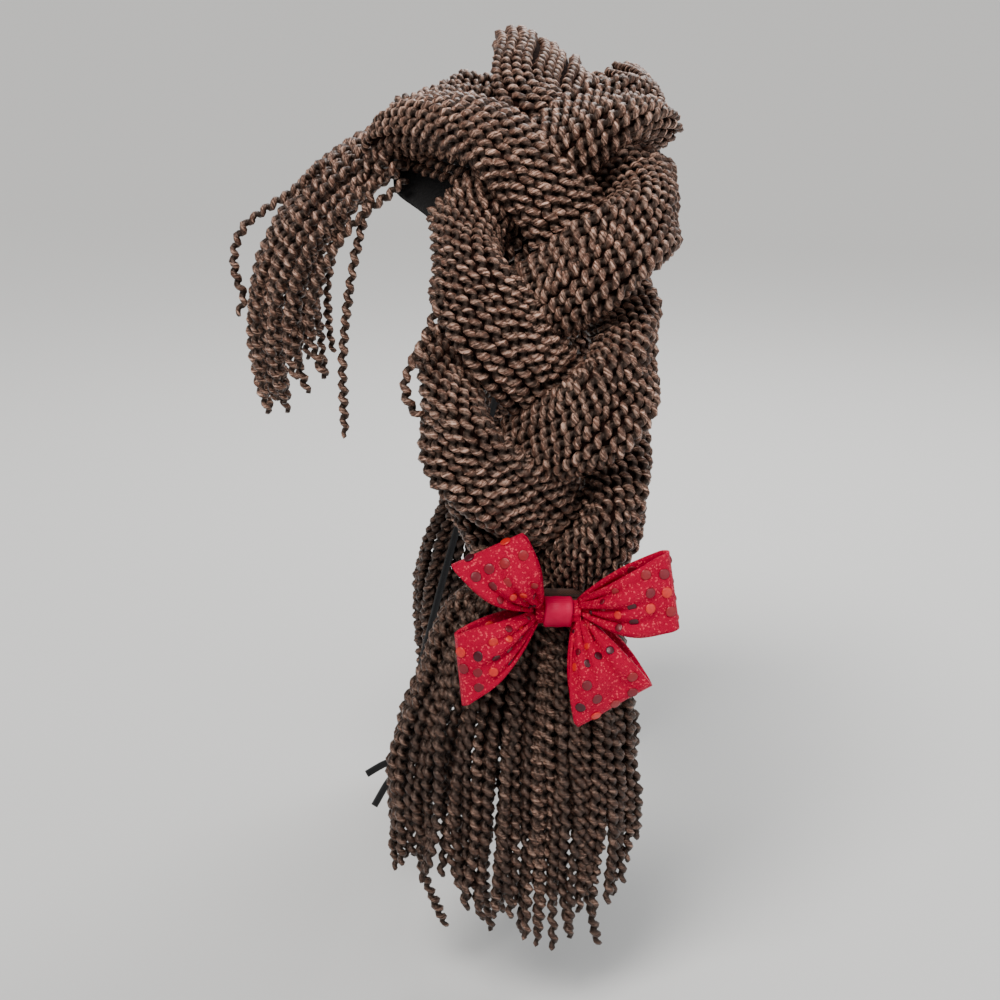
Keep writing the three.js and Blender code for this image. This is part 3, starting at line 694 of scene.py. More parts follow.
SIDE = plait_sizes(0.7 * PLAIT_RUN)
MID_LIFT = float(FELT_WALL + GAP + SIDE["depth"] + SIDE["thick"])
ANGLE_STEPS = 240
STEP_ANGLES = (np.arange(ANGLE_STEPS) + 0.5) / ANGLE_STEPS * math.pi / 2
RUNS = np.concatenate(([0.0], np.cumsum(np.hypot(
    (HEAD_HALF_WIDTH + MID_LIFT) * np.cos(STEP_ANGLES),
    (HEAD_DOME + MID_LIFT) * np.sin(STEP_ANGLES),
) * math.pi / 2 / ANGLE_STEPS)))
SIDE_RUN = RUNS[-1]


def head_at(run):
    angle = np.interp(run, RUNS, np.linspace(0, math.pi / 2, ANGLE_STEPS + 1))
    zero = np.zeros_like(angle)
    normal = np.stack((HEAD_DOME * np.sin(angle), zero, HEAD_HALF_WIDTH * np.cos(angle)), axis=-1)
    down = np.maximum(0, run - SIDE_RUN)
    height = HEAD_DOME * (np.cos(angle) - 1) - down
    return np.stack((HEAD_HALF_WIDTH * np.sin(angle), zero, height), axis=-1), unit(normal)


def smoothstep(value, low, high):
    u = np.clip((value - low) / (high - low), 0, 1)
    return u * u * (3 - 2 * u)


def fall_at(run, y):
    free = smoothstep(run, 0.5 * PLAIT_RUN, 0.76 * PLAIT_RUN)
    return y * y / (2 * HEAD_HALF_LENGTH**2) * HEAD_DOME * (1 - free)


def over_head(run, y, height):
    point, normal = head_at(run)
    place = point + normal * (height - fall_at(run, y))[..., None]
    place[..., 1] = y
    return place


def crown_at(run, bundle):
    """What the crown adds to a bundle's course at a run."""
    row = dict(zip(CROWN_COLUMNS, CROWN_ROWS[bundle]))
    left = 1 - smoothstep(run, row["even"] * PLAIT_RUN, row["until"] * PLAIT_RUN)
    return {name: row[name] * left for name in ("ahead", "shift", "lift")}


def phase_at(run, bundle):
    swing = (np.hypot(run, SETTLE) - math.hypot(FIRST_LOBE, SETTLE)) / PLAIT_PITCH + 0.25 + bundle / 3
    swing = swing * 2 * math.pi + crown_at(run, bundle)["ahead"]
    return swing + LEAD / 2 * (1 - np.sin(swing))


def plait_lift(run):
    sizes = plait_sizes(run)
    return FELT_WALL + GAP + sizes["depth"] + sizes["thick"]


def bundle_centre(bundle, signed):
    run = np.abs(signed)
    sizes = plait_sizes(run)
    phase = phase_at(run, bundle)
    rest = np.sin(math.pi * np.clip(-signed / REST_RUN, 0, 1))
    crown = crown_at(run, bundle)
    even = sizes["shift"] + sizes["sway"] * np.sin(phase) + crown["shift"] * PLAIT_HALF
    y = even + rest * REST_SQUEEZE * np.maximum(0, CREST - even)
    drop = HUMP * sizes["hump"] * ((y - CREST) / PLAIT_HALF) ** 2 + rest * REST_DROP
    lift = plait_lift(run) - sizes["depth"] * np.sin(2 * phase) + crown["lift"] * BUNDLE_THICK
    place = over_head(run, y, lift - drop)
    place[..., 0] *= np.where(signed < 0, -1, 1)
    return place


def bundle_sections(bundle, signed, shrink):
    """Centres, outward ways and the two in-plane half axes of a bundle's sections."""
    run = np.abs(signed)
    phase = phase_at(run, bundle)
    centre = bundle_centre(bundle, signed)
    along = unit(bundle_centre(bundle, signed + 0.5) - bundle_centre(bundle, signed - 0.5))
    head, outward = head_at(run)
    flip = np.where(signed < 0, -1.0, 1.0)
    outward = outward * np.stack((flip, np.ones_like(flip), np.ones_like(flip)), axis=-1)
    head = head * np.stack((flip, np.ones_like(flip), np.ones_like(flip)), axis=-1)
    back = np.zeros_like(outward)
    back[:, 1] = 1
    level = np.cross(back, outward)
    turn = unit(np.stack((np.cos(phase), -TILT * np.cos(2 * phase)), axis=-1))
    wide = back * turn[:, :1] + outward * turn[:, 1:]
    wide = unit(wide - along * np.sum(wide * along, axis=1, keepdims=True))
    thick = np.cross(along, wide)
    sizes = plait_sizes(run)
    on_edge = 1 - sizes["round"] * np.sin(phase) ** 2
    wide = wide * (sizes["wide"] * on_edge - shrink)[:, None]
    thick = thick * (sizes["thick"] - shrink)[:, None]
    slide = np.sum(along * level, axis=1, keepdims=True)
    flat = []
    for span in (wide, thick):
        span = span - along * np.sum(span * level, axis=1, keepdims=True) / slide
        flat.append(np.stack((span[:, 1], np.sum(span * outward, axis=1)), axis=-1))
    return centre, head, outward, flat[0], flat[1]


def ellipse_root(wide, thick):
    """The symmetric matrix that turns a unit circle into the ellipse, without turning the circle."""
    m = wide[:, :, None] * wide[:, None, :] + thick[:, :, None] * thick[:, None, :]
    root = np.sqrt(np.maximum(m[:, 0, 0] * m[:, 1, 1] - m[:, 0, 1] ** 2, 1e-6))
    scale = np.sqrt(m[:, 0, 0] + m[:, 1, 1] + 2 * root)
    return (m + np.eye(2) * root[:, None, None]) / scale[:, None, None], m


def low_noise(rng, count, knots):
    """A smooth random line of values between -1 and 1."""
    spots = np.linspace(0, 1, knots)
    values = rng.uniform(-1, 1, knots)
    fine = np.linspace(0, 1, count)
    base = np.interp(fine, spots, values)
    width = max(3, count // knots)
    kernel = np.hanning(width + 2)[1:-1]
    padded = np.pad(base, width, mode="edge")
    return np.convolve(padded, kernel / kernel.sum(), mode="same")[width:-width]


# The plaited bundles

def even_turns(root):
    """The girth of each section, and a function from a share of it to the angle on the unit circle."""
    psi = np.linspace(0, 2 * math.pi, 97)
    ring = np.einsum("nij,kj->nki", root, np.stack((np.cos(psi), np.sin(psi)), axis=-1))
    steps = np.cumsum(np.linalg.norm(np.diff(ring, axis=1), axis=2), axis=1)
    gone = np.concatenate((np.zeros((len(root), 1)), steps), axis=1)

    def turns(share):
        share = np.mod(share, 1.0)
        return np.array([np.interp(part * line[-1], line, psi) for part, line in zip(share, gone)])

    return gone[:, -1], turns


def inside_bundle(bundle, signed, places):
    """How deep the places lie in another bundle: below 1 is inside its layer of yarns."""
    centre, _, outward, wide, thick = bundle_sections(bundle, signed, YARN_RADIUS)
    _, m = ellipse_root(wide, thick)
    gap = places - centre
    flat = np.stack((gap[:, 1], np.sum(gap * outward, axis=1)), axis=-1)
    solved = np.linalg.solve(m, flat[..., None])[..., 0]
    return np.sqrt(np.maximum(np.sum(flat * solved, axis=1), 0))


def kept_runs(keep, least=4):
    """Start and end of each stretch of places that are kept."""
    edges = np.flatnonzero(np.diff(np.concatenate(([0], keep.astype(int), [0]))))
    return [(a, b) for a, b in zip(edges[::2], edges[1::2]) if b - a >= least]


LOOSE_BUNDLE = 2  # the one that a yarn stands off of
LOOSE_LOOP = (
    (98.0, -31.6, -44.6),
    (98.0, -36.6, -57.0),
    (98.0, -40.6, -64.3),
    (98.0, -41.8, -70.0),
    (98.0, -40.4, -75.1),
    (98.0, -36.2, -79.0),
    (98.0, -29.0, -80.9),
)


DRAPED_BUNDLE = 0  # the one whose yarns sag over the front of the crown
# Nested arcs of such yarns, from the middle of the crown down: run, y and height
DRAPED_YARNS = (
    (
        (0, -44, 9), (9, -47, 9), (18, -49.5, 8.5), (27, -49.5, 7.5),
        (42, -43.5, 5), (55.5, -34.5, 5), (63, -24, 5.5), (66, -13, 7),
    ),
    (
        (0, -40, 10), (12, -44, 10), (24, -46.5, 9.5), (33, -45.8, 9),
        (44, -40.5, 8), (55, -33, 8), (61.5, -24, 8), (64, -13, 9),
    ),
    (
        (0, -36, 11), (12, -40, 11), (26, -44.5, 11.5), (36.5, -43, 11),
        (46.5, -38, 11), (55, -31, 11), (60.5, -23, 11), (63.5, -14, 12),
    ),
)
# A yarn deeper in, seen where the bundles part over the ear, and the way to the ones beside it
DEEP_YARN = ((104, -15.5, 8), (98, -12.5, 9), (93.5, -9.5, 9.5), (88.5, -6.5, 9), (79, -1, 8))
DEEP_STEP = (2.4, 2.8, 0.0)


def crown_path(points):
    """A smooth yarn over the crown, through points of run, y and height."""
    fine = smooth_path(points)
    path = over_head(np.abs(fine[:, 0]), fine[:, 1], fine[:, 2])
    path[:, 0] *= np.where(fine[:, 0] < 0, -1, 1)
    return path


def add_loose_yarns(parts, rng):
    for points in DRAPED_YARNS:
        half = np.array(points, dtype=float)
        whole = np.vstack((half[::-1] * (-1, 1, 1), half[1:]))
        add_strand(parts, crown_path(whole), rng, shade=0.1)
    for side in (-1, 1):
        for k in (-1, 0, 1):
            points = np.array(DEEP_YARN) + k * np.array(DEEP_STEP)
            add_strand(parts, crown_path(points * (side, 1, 1)), rng, shade=0.3)


FELT_END = FELT_ROWS[-1][0] * PLAIT_RUN
FELT_MARGIN = 3.0
ON_FELT = FELT_WALL + GAP + YARN_RADIUS  # least height of a yarn's middle over the head
LOOSE_SHARE = 0.12  # of the yarns, which stand off the rest
DEEP = 0.93  # depth in another bundle's layer of yarns, below which a yarn isn't seen
HEART_SIDES = 18


def yarn_bundle(bundle):
    rng = np.random.default_rng(40 + bundle)
    parts = Parts()
    signed = np.arange(-PLAIT_RUN, PLAIT_RUN + 0.5, 1.0)
    run = np.abs(signed)
    centre, head, outward, wide, thick = bundle_sections(bundle, signed, YARN_RADIUS)
    root, _ = ellipse_root(wide, thick)
    add_heart(parts, bundle)
    girth, turns = even_turns(root)
    for strand in range(BUNDLE_STRANDS):
        places = section_places(centre, outward, strand_course(rng, strand, root, turns))
        height, short = height_and_short(run, places, head, outward, ON_FELT)
        hidden = over_felt(run, places[:, 1]) & (height < ON_FELT + 3.5)
        places = places + outward * short[:, None]
        for other in range(3):
            if other != bundle:
                hidden |= inside_bundle(other, signed, places) < DEEP
        for a, b in kept_runs(~hidden):
            a, b = max(0, a - 1), min(len(signed), b + 1)
            size = np.clip(0.54 * girth[a:b] / BUNDLE_STRANDS, 1.55, 2.0)
            # Random tone per yarn, plus painted shade darkening the yarns towards the plait's ends
            shade = rng.uniform(0, 0.35) + 0.2 * smoothstep(run[a:b], 0.45 * PLAIT_RUN, PLAIT_RUN)
            add_strand(parts, places[a:b], rng, radius=size, shade=shade)
    if bundle == LOOSE_BUNDLE:
        add_strand(parts, smooth_path(LOOSE_LOOP), rng, shade=0.2)
    if bundle == DRAPED_BUNDLE:
        add_loose_yarns(parts, rng)
    node_name = f"yarn_bundle_{bundle + 1}"
    return parts.make(f"plaited_yarn_{bundle + 1}", [YARN, HEART_PAINTED_SHADE], node_name)


def strand_course(rng, strand, root, turns):
    """A yarn's place at each section, across and outward from its centre."""
    count = len(root)
    psi = turns((strand + 0.5 + 0.22 * low_noise(rng, count, 14)) / BUNDLE_STRANDS)
    flat = np.einsum("nij,nj->ni", root, np.stack((np.cos(psi), np.sin(psi)), axis=-1))
    lift = 0.75 * low_noise(rng, count, 16)
    if rng.uniform() < LOOSE_SHARE:
        lift = lift + 1.6 * np.maximum(0, low_noise(rng, count, 9))
    return flat * (1 + lift / np.maximum(np.linalg.norm(flat, axis=1), 3))[:, None]


def section_places(centre, outward, flat):
    places = centre + outward * flat[..., 1:]
    places[..., 1] += flat[..., 0]
    return places


def height_and_short(run, places, head, outward, least):
    """Heights over the head, and what they lack of the least height where the felt is near."""
    height = np.sum((places - head) * outward, axis=-1) + fall_at(run, places[..., 1])
    return height, np.where(run < FELT_END + 14, np.maximum(0, least - height), 0)


def over_felt(run, y):
    row = felt_row(run / PLAIT_RUN)
    past_front = y > row["front"] * FELT_HALF + FELT_MARGIN
    before_back = y < row["back"] * FELT_HALF - FELT_MARGIN
    return (run < 0.47 * PLAIT_RUN) & past_front & before_back


def add_heart(parts, bundle):
    """The inside of a bundle, in near-black painted shade, seen between its yarns."""
    signed = np.arange(-PLAIT_RUN, PLAIT_RUN + 0.5, 3.0)
    run = np.abs(signed)[:, None]
    centre, head, outward, wide, thick = bundle_sections(bundle, signed, YARN_RADIUS + 1.0)
    centre, head, outward = (values[:, None, :] for values in (centre, head, outward))
    root, _ = ellipse_root(wide, thick)
    turn = full_turn(HEART_SIDES)
    flat = np.einsum("nij,kj->nki", root, np.stack((np.cos(turn), np.sin(turn)), axis=-1))
    places = section_places(centre, outward, flat)
    _, short = height_and_short(run, places, head, outward, FELT_WALL + GAP + 0.4)
    places = places + outward * short[..., None]
    rings = len(signed)
    parts.add(places, ring_quads(rings, HEART_SIDES), ring_caps(rings, HEART_SIDES), slot=1)


# The tassels

END_RUN = np.array([PLAIT_RUN])
TIE_PLACE = over_head(END_RUN, plait_sizes(END_RUN)["shift"], plait_lift(END_RUN))[0]
END_SIZES = plait_sizes(PLAIT_RUN)
TIED_WIDE = float(END_SIZES["sway"] + 0.88 * END_SIZES["wide"])
TIED_THICK = float(END_SIZES["depth"] + END_SIZES["thick"])
TASSEL_TABLE = np.array(TASSEL_ROWS, dtype=float)
# Yarns that hang further than the rest: angle round the tie, and the place of the end
LONG_YARNS = (
    (165, (80.0, -34.0, -252.0)),
    (95, (92.0, 18.0, -250.0)),
    (130, (92.0, -17.0, -246.0)),
    (60, (88.0, 27.0, -214.0)),
    (172, (88.0, -48.5, -226.0)),
)


def row_at(table, key):
    """The columns after the first, at a value of it."""
    return [np.interp(key, table[:, 0], table[:, k]) for k in range(1, table.shape[1])]


def wander(rng, reach, knots=6):
    """Small sideways turns of a yarn along its way."""
    return np.stack([low_noise(rng, len(reach), knots) for _ in range(3)], axis=1) * reach[:, None]


def tassel_path(angle_degrees, depth, rng, stretch, end=None):
    angle = math.radians(angle_degrees)
    spread, rise, long = row_at(TASSEL_TABLE, angle_degrees % 360)
    out = np.array((math.sin(angle), math.cos(angle), 0.0))
    u = np.linspace(0, 1, 40)
    inner = np.array(((TIED_THICK - 2.2) * out[0], (TIED_WIDE - 2.2) * out[1], 0.0)) * depth
    start = TIE_PLACE + inner
    reach = spread * TASSEL_SPREAD * depth + TASSEL_LOCK * 0.45 * max(0.0, depth - 0.35)
    reach = reach * (1 - TASSEL_TUCK * max(0.0, out[1]))
    flare = 1 - (1 - u) ** 3.4
    up = rise * TASSEL_SPREAD * np.sin(math.pi * np.minimum(1, 3.2 * u)) * depth
    fall = long * (TASSEL_LENGTH - 2) * stretch * u
    path = start + out * (reach * flare)[:, None]
    path[:, 2] += up - fall + 4.0 * (1 - np.minimum(1, u * 12))
    path[:, 1] += TASSEL_DRIFT * (1 - depth) * u
    if end is not None:
        path = path + (np.array(end) - path[-1]) * (u**1.6)[:, None]
    aside = wander(rng, 3.1 * u)
    aside[:, 2] *= 0.2
    return path + aside


def yarn_tassel(side):
    rng = np.random.default_rng(70)
    parts = Parts()
    add_tassel_heart(parts)
    strands = []
    for i in range(TASSEL_STRANDS):
        angle = (i * 137.508) % 360
        angle = angle + TASSEL_BIAS * math.sin(math.radians(angle - TASSEL_FULL))
        outer = i % 3 > 0
        depth = rng.uniform(0.88, 1.0) if outer else rng.uniform(0.55, 0.85)
        stretch = rng.uniform(0.92, 1.07) if outer else rng.uniform(0.86, 1.04)
        rings = TURN_RINGS if outer else INNER_RINGS
        strands.append((tassel_path(angle + rng.uniform(-4, 4), depth, rng, stretch), rings))
    for angle, end in LONG_YARNS:
        strands.append((tassel_path(angle, 1.0, rng, 1.0, end), TURN_RINGS))
    for path, rings in strands:
        size = YARN_RADIUS * (0.84 + 0.16 * smoothstep(np.linspace(0, 1, 12), 0, 0.2))
        # Painted shade: the tassel yarns are darkened well beyond the plait's
        shade = rng.uniform(0.6, 0.94)
        add_strand(parts, path, rng, radius=size, shade=shade, taper=0.25, rings=rings)
    mirrored = side == "right"
    return parts.make(f"tassel_yarns_{side}", [YARN, HEART_PAINTED_SHADE], f"tassel_{side}", mirrored)


TASSEL_HEART_ROWS = (
    (0.0, 0.85, 0.85),
    (0.14, 0.9, 0.85),
    (0.36, 1.05, 0.9),
    (0.52, 0.8, 0.6),
    (0.62, 0.1, 0.1),
)
TASSEL_HEART_SIDES = 16


def add_tassel_heart(parts):
    """The inside of a tassel, in near-black painted shade, by its share of the way down, width and
    thickness there.
    """
    turn = full_turn(TASSEL_HEART_SIDES)
    rings = []
    for down, wide, thick in TASSEL_HEART_ROWS:
        middle = TIE_PLACE + np.array((0.0, down * TASSEL_DRIFT, -down * TASSEL_LENGTH))
        rings.append(np.stack((
            middle[0] + thick * (TIED_THICK - 3) * np.cos(turn),
            middle[1] + wide * (TIED_WIDE - 3) * np.sin(turn),
            np.full(TASSEL_HEART_SIDES, middle[2]),
        ), axis=1))
    quads = ring_quads(len(rings), TASSEL_HEART_SIDES)
    parts.add(np.concatenate(rings), quads, ring_caps(len(rings), TASSEL_HEART_SIDES), slot=1)


# The fringe

FRINGE_TABLE = np.array(FRINGE_ROWS, dtype=float)
# Loose yarns that stand off the fringe, each by a few given points
LONE_YARN = (
    (41.0, -42.0, -4.0),
    (41.0, -49.0, -8.0),
    (41.0, -53.0, -17.0),
    (40.5, -57.0, -30.0),
    (40.0, -60.4, -44.0),
    (40.0, -62.8, -58.0),
    (40.0, -64.4, -74.0),
    (40.0, -64.4, -87.0),
    (40.0, -64.2, -99.0),
)
DIAGONAL_YARN = (
    (36.0, -45.0, -3.0),
    (36.5, -55.5, -13.5),
    (37.0, -63.0, -28.5),
    (37.0, -69.0, -44.0),
    (36.5, -73.8, -58.0),
    (36.0, -79.0, -69.0),
)
STRAY_YARN = (
    (18.0, -71.0, -14.0),
    (19.0, -80.0, -22.5),
    (20.0, -90.5, -29.5),
    (20.0, -97.0, -35.0),
    (20.0, -100.2, -42.5),
    (20.0, -99.8, -51.0),
    (20.0, -97.6, -57.5),
    (20.0, -100.0, -63.0),
)


def fringe_path(across, out, long, off, lift, u):
    root_off = FELT_WALL + GAP + FRINGE_BAR
    front = FELT_ROWS[0][1] * FELT_HALF - FRINGE_BAR / 2
    x = (across + (out - across) * u) * FRINGE_HALF_SPAN
    narrow = np.sqrt(1 - (x / HEAD_HALF_WIDTH) ** 2)
    start = np.arcsin(-front / (HEAD_HALF_LENGTH * narrow + root_off))
    quarter = (HEAD_HALF_LENGTH + HEAD_DOME) / 2 * narrow
    travel = long * FRINGE_LENGTH * u + quarter * start
    angle = np.minimum(travel / quarter, math.pi / 2)
    below = np.maximum(0, travel - quarter * math.pi / 2)
    held = root_off + (off * FRINGE_END_OFF - root_off) * u
    stand = held + off * FRINGE_PUFF * np.sin(math.pi * np.clip(u, 0, 1)) + lift
    return np.stack((
        x / HEAD_HALF_WIDTH * stand + x,
        -(HEAD_HALF_LENGTH * narrow + stand) * np.sin(angle),
        (HEAD_DOME * narrow + stand) * np.cos(angle) - HEAD_DOME - below,
    ), axis=1)


def yarn_fringe():
    rng = np.random.default_rng(90)
    parts = Parts()
    u = np.linspace(-0.1, 1, 46)
    for i in range(FRINGE_STRANDS):
        across = -0.98 + 1.96 * (i + 0.5) / FRINGE_STRANDS + rng.uniform(-0.02, 0.02)
        long, off = row_at(FRINGE_TABLE, across)
        layer = (i % 3 - 1) * 2.9 + rng.uniform(-0.6, 0.6)
        long = long * rng.uniform(0.84, 1.1)
        out = across * 1.05 + rng.uniform(-0.06, 0.06)
        path = fringe_path(across, out, long, off, layer * (0.7 + 0.3 * u), u)
        path = path + wander(rng, 1.9 * np.clip(u, 0, 1))
        add_strand(parts, path, rng, shade=rng.uniform(0.0, 0.35), taper=0.25)
    for points in (LONE_YARN, DIAGONAL_YARN, STRAY_YARN):
        add_strand(parts, smooth_path(points), rng, shade=0.3, taper=0.3)
    return parts.make("fringe_yarns", [YARN], "fringe")


# The felt band

FELT_GRID = (72, 30)


def felt_band():
    rows, columns = FELT_GRID
    signed = np.linspace(-FELT_END, FELT_END, rows)
    run = np.abs(signed)
    row = felt_row(run / PLAIT_RUN)
    v = np.linspace(0, 1, columns)
    y = row["front"][:, None] * FELT_HALF * (1 - v) + row["back"][:, None] * FELT_HALF * v
    layers = []
    for height in (0.0, FELT_WALL):
        place = over_head(np.repeat(run, columns), y.ravel(), np.full(y.size, height))
        place[:, 0] *= np.repeat(np.where(signed < 0, -1, 1), columns)
        layers.append(place)
    parts = Parts()
    parts.add(np.concatenate(layers), wall_faces(rows, columns))
    piece = parts.make("felt_base", [FELT], "felt_band")
    return piece


def wall_faces(rows, columns):
    """Quads of a closed wall between two grids, the under one first."""
    lift = rows * columns
    quads = []
    for i in range(rows - 1):
        start = i * columns
        for j in range(start, start + columns - 1):
            a, b, c, d = j, j + 1, j + columns + 1, j + columns
            quads.append((a, b, c, d))
            quads.append((a + lift, d + lift, c + lift, b + lift))
        a, d = start, start + columns
        quads.append((a, d, d + lift, a + lift))
        a, d = a + columns - 1, d + columns - 1
        quads.append((a, a + lift, d + lift, d))
    for j in range(columns - 1):
        a, b = j, j + 1
        quads.append((a, a + lift, b + lift, b))
        a, b = a + lift - columns, b + lift - columns
        quads.append((a, b, b + lift, a + lift))
    return np.array(quads)


# The ties

TIE_LEVELS = (-3.0, 0.0, 3.0)
TIE_TURNS = 48
TIE_SIDES = 10


def tie_rounds(side):
    """A plain hair tie, wound in three rounds."""
    parts = Parts()
    turn = full_turn(TIE_TURNS)
    small = full_turn(TIE_SIDES)
    wide = TIED_WIDE + GAP + TIE_WALL / 2
    thick = TIED_THICK + GAP + TIE_WALL / 2
    weave = np.stack(np.meshgrid(turn * 14, small * 1.5, indexing="ij"), axis=-1).reshape(-1, 2)
    weave = np.column_stack((weave, np.zeros(len(weave))))
    for k, level in enumerate(TIE_LEVELS):
        rings = []
        for t in turn:
            place = np.array((thick * math.cos(t), wide * math.sin(t), level + 0.5 * math.sin(t + k)))
            outward = unit(np.array((math.cos(t) / thick, math.sin(t) / wide, 0.0)))
            bulge = outward * (TIE_WALL / 2 * np.cos(small))[:, None]
            rise = np.array((0, 0, 1.0)) * (1.5 * np.sin(small))[:, None]
            rings.append(TIE_PLACE + place + bulge + rise)
        parts.add(np.concatenate(rings), ring_quads(TIE_TURNS, TIE_SIDES, closed=True), weave=weave)
    return parts.make(f"hair_tie_{side}", [TIE], f"tie_{side}", side == "right")


# The bows

BOW_OUT = TIED_THICK + GAP + TIE_WALL + GAP + BAND_CLOTH + GAP + BAND_CORE
BOW_PLACE = TIE_PLACE + np.array((BOW_OUT, 0.0, 0.0))
LOOP_COLUMNS = 22
FRONT_STEPS = 20
FOLD_STEPS = 8


def loop_stations():
    stations = []
    for i in range(FRONT_STEPS + 1):
        out = i / FRONT_STEPS
        puff = RIBBON_PUFF * math.sin(math.pi * out) ** 1.3
        stations.append((out, RIBBON_FOLD * (0.5 + 0.5 * out) + puff, 0.0))
    for i in range(1, FOLD_STEPS):
        turn = math.pi * i / FOLD_STEPS
        stations.append((1.0, RIBBON_FOLD * math.cos(turn), RIBBON_FOLD * math.sin(turn)))
    for i in range(FRONT_STEPS, -1, -1):
        out = i / FRONT_STEPS
        stations.append((out, -RIBBON_FOLD * (0.5 + 0.5 * out), 0.0))
    return stations


def loop_grid(index):
    """Places of one ribbon loop's middle surface, stations by columns."""
    y1, z1, y2, z2 = (value * RIBBON_WIDTH for value in LOOP_ROWS[index])
    first, second = np.array((y1, z1)), np.array((y2, z2))
    towards = (first + second) / 2
    across = unit(second - first)
    pinch = 0.5 * BAND_WIDTH + GAP + 1.8 * RIBBON_CLOTH
    root = np.array((np.sign(towards[0]) * pinch, 0.42 * BAND_CORE * np.sign(towards[1])))
    way = unit(towards)
    grid = []
    for out, lift, past in loop_stations():
        row = []
        for j in range(LOOP_COLUMNS):
            v = j / (LOOP_COLUMNS - 1)
            outer = first * (1 - v) + second * v
            inner = root + across * (v - 0.5) * BAND_CORE
            middle = (first + second) / 2
            full = out + RIBBON_FULL * math.sin(math.pi * out)
            flat = inner * (1 - out) + middle * out + (outer - middle) * full + way * past
            face = math.copysign(1, lift)
            gather = RIBBON_GATHER * math.cos(3 * math.pi * v) * (1 - out) ** 0.5
            crown = 0.25 * RIBBON_PUFF * math.sin(math.pi * v) * math.sin(math.pi * out)
            crease = 1.5 * math.sin(7 * math.pi * v + 2 * index) * (1 - out) ** 0.9 * min(1, out * 5)
            spot = Vector((flat[0] * 0.09, flat[1] * 0.09, 3.0 * index + 0.5 * face))
            wave = 0.9 * noise.noise(spot) * min(1, out * 3)
            x = lift + gather + crown * face + RIBBON_LEAN * out + crease + wave
            row.append((x, flat[0], flat[1]))
        grid.append(row)
    return np.array(grid)


def grid_normals(grid):
    along = np.gradient(grid, axis=0)
    sideways = np.gradient(grid, axis=1)
    return unit(np.cross(along, sideways))


def ribbon_bow(side):
    rng = np.random.default_rng(7)
    parts = Parts()
    for index in range(len(LOOP_ROWS)):
        grid = loop_grid(index)
        normals = grid_normals(grid)
        rows, columns = grid.shape[:2]
        gaps = np.linalg.norm(np.diff(grid[:, columns // 2], axis=0), axis=1)
        lengths = np.concatenate(([0], np.cumsum(gaps)))
        weave = np.zeros((rows, columns, 3))
        weave[..., 0] = lengths[:, None]
        weave[..., 1] = np.linspace(0, RIBBON_WIDTH, columns)[None, :]
        weave[..., 2] = index * 9
        half = RIBBON_CLOTH / 2
        layers = [(grid + normals * shift + BOW_PLACE).reshape(-1, 3) for shift in (-half, half)]
        both = np.concatenate([weave.reshape(-1, 3)] * 2)
        parts.add(np.concatenate(layers), wall_faces(rows, columns), weave=both)
        for face in (1, -1):
            add_dots(parts, grid, normals * face, lengths, rng)
    add_core(parts)
    mirrored = side == "right"
    cloth = [GLITTER, DOTS]
    piece = parts.make(f"glitter_bow_{side}", cloth, f"bow_ribbon_{side}", mirrored)
    return piece


DOT_SIZE = 1.6
DOT_PITCH = 5.2
DOT_SIDES = 14
DOT_SHADES = (0.0, 0.3, 0.45, 0.6, 1.0)


def add_dots(parts, grid, normals, lengths, rng):
    """Round flat dots scattered over one face of the ribbon."""
    rows, columns = grid.shape[:2]
    for i, length in enumerate(np.arange(4.5, lengths[-1] - 4, DOT_PITCH)):
        for j in range(4):
            across = 3.4 + 6.1 * j + (3.0 if i % 2 else 0.0) + rng.uniform(-0.7, 0.7)
            if across > RIBBON_WIDTH - 2.2 or rng.uniform() < 0.25:
                continue
            r = np.interp(length + rng.uniform(-0.6, 0.6), lengths, np.arange(rows))
            add_dot(parts, grid, normals, r, across / RIBBON_WIDTH * (columns - 1), rng)


def add_dot(parts, grid, normals, r, c, rng):
    """A dot at a row and column of the ribbon's grid, with a rounded edge."""
    i, j = int(min(r, len(grid) - 2)), int(min(c, grid.shape[1] - 2))
    middle = blended(grid, i, j, r - i, c - j)
    up = unit(blended(normals, i, j, r - i, c - j))
    side_way = unit(grid[i, j + 1] - grid[i, j])
    side_way = unit(side_way - up * np.dot(side_way, up))
    other = np.cross(up, side_way)
    span = np.linalg.norm(grid[i, -1] - grid[i, 0])
    size = DOT_SIZE * min(1.0, span / RIBBON_WIDTH + 0.15)
    base = middle + BOW_PLACE + up * (RIBBON_CLOTH / 2)
    turn = full_turn(DOT_SIDES)
    rings = []
    for reach, height in ((size, -0.1), (size, 0.18), (size * 0.8, 0.27)):
        aside = side_way * (reach * np.cos(turn))[:, None]
        rings.append(base + aside + other * (reach * np.sin(turn))[:, None] + up * height)
    quads = ring_quads(len(rings), DOT_SIDES)
    caps = ring_caps(len(rings), DOT_SIDES)
    parts.add(np.concatenate(rings), quads, caps, slot=1, shade=rng.choice(DOT_SHADES))


def blended(field, i, j, down, across):
    low = field[i, j] * (1 - across) + field[i, j + 1] * across
    high = field[i + 1, j] * (1 - across) + field[i + 1, j + 1] * across
    return low * (1 - down) + high * down


CORE_SIDES = 40
CORE_RINGS = 9


def add_core(parts):
    """The gathered ribbon under the satin band."""
    turn = full_turn(CORE_SIDES)
    half = (BAND_WIDTH + 5) / 2
    rings = []
    for level in np.linspace(-half, half, CORE_RINGS):
        reach = BAND_CORE * (0.94 + 0.06 * np.sin(9 * turn + level * 0.2))
        ring = (reach * np.cos(turn), np.full(CORE_SIDES, level), reach * np.sin(turn))
        rings.append(BOW_PLACE + np.stack(ring, axis=1))
    quads = ring_quads(CORE_RINGS, CORE_SIDES)
    parts.add(np.concatenate(rings), quads, ring_caps(CORE_RINGS, CORE_SIDES))


BAND_TURNS = 64


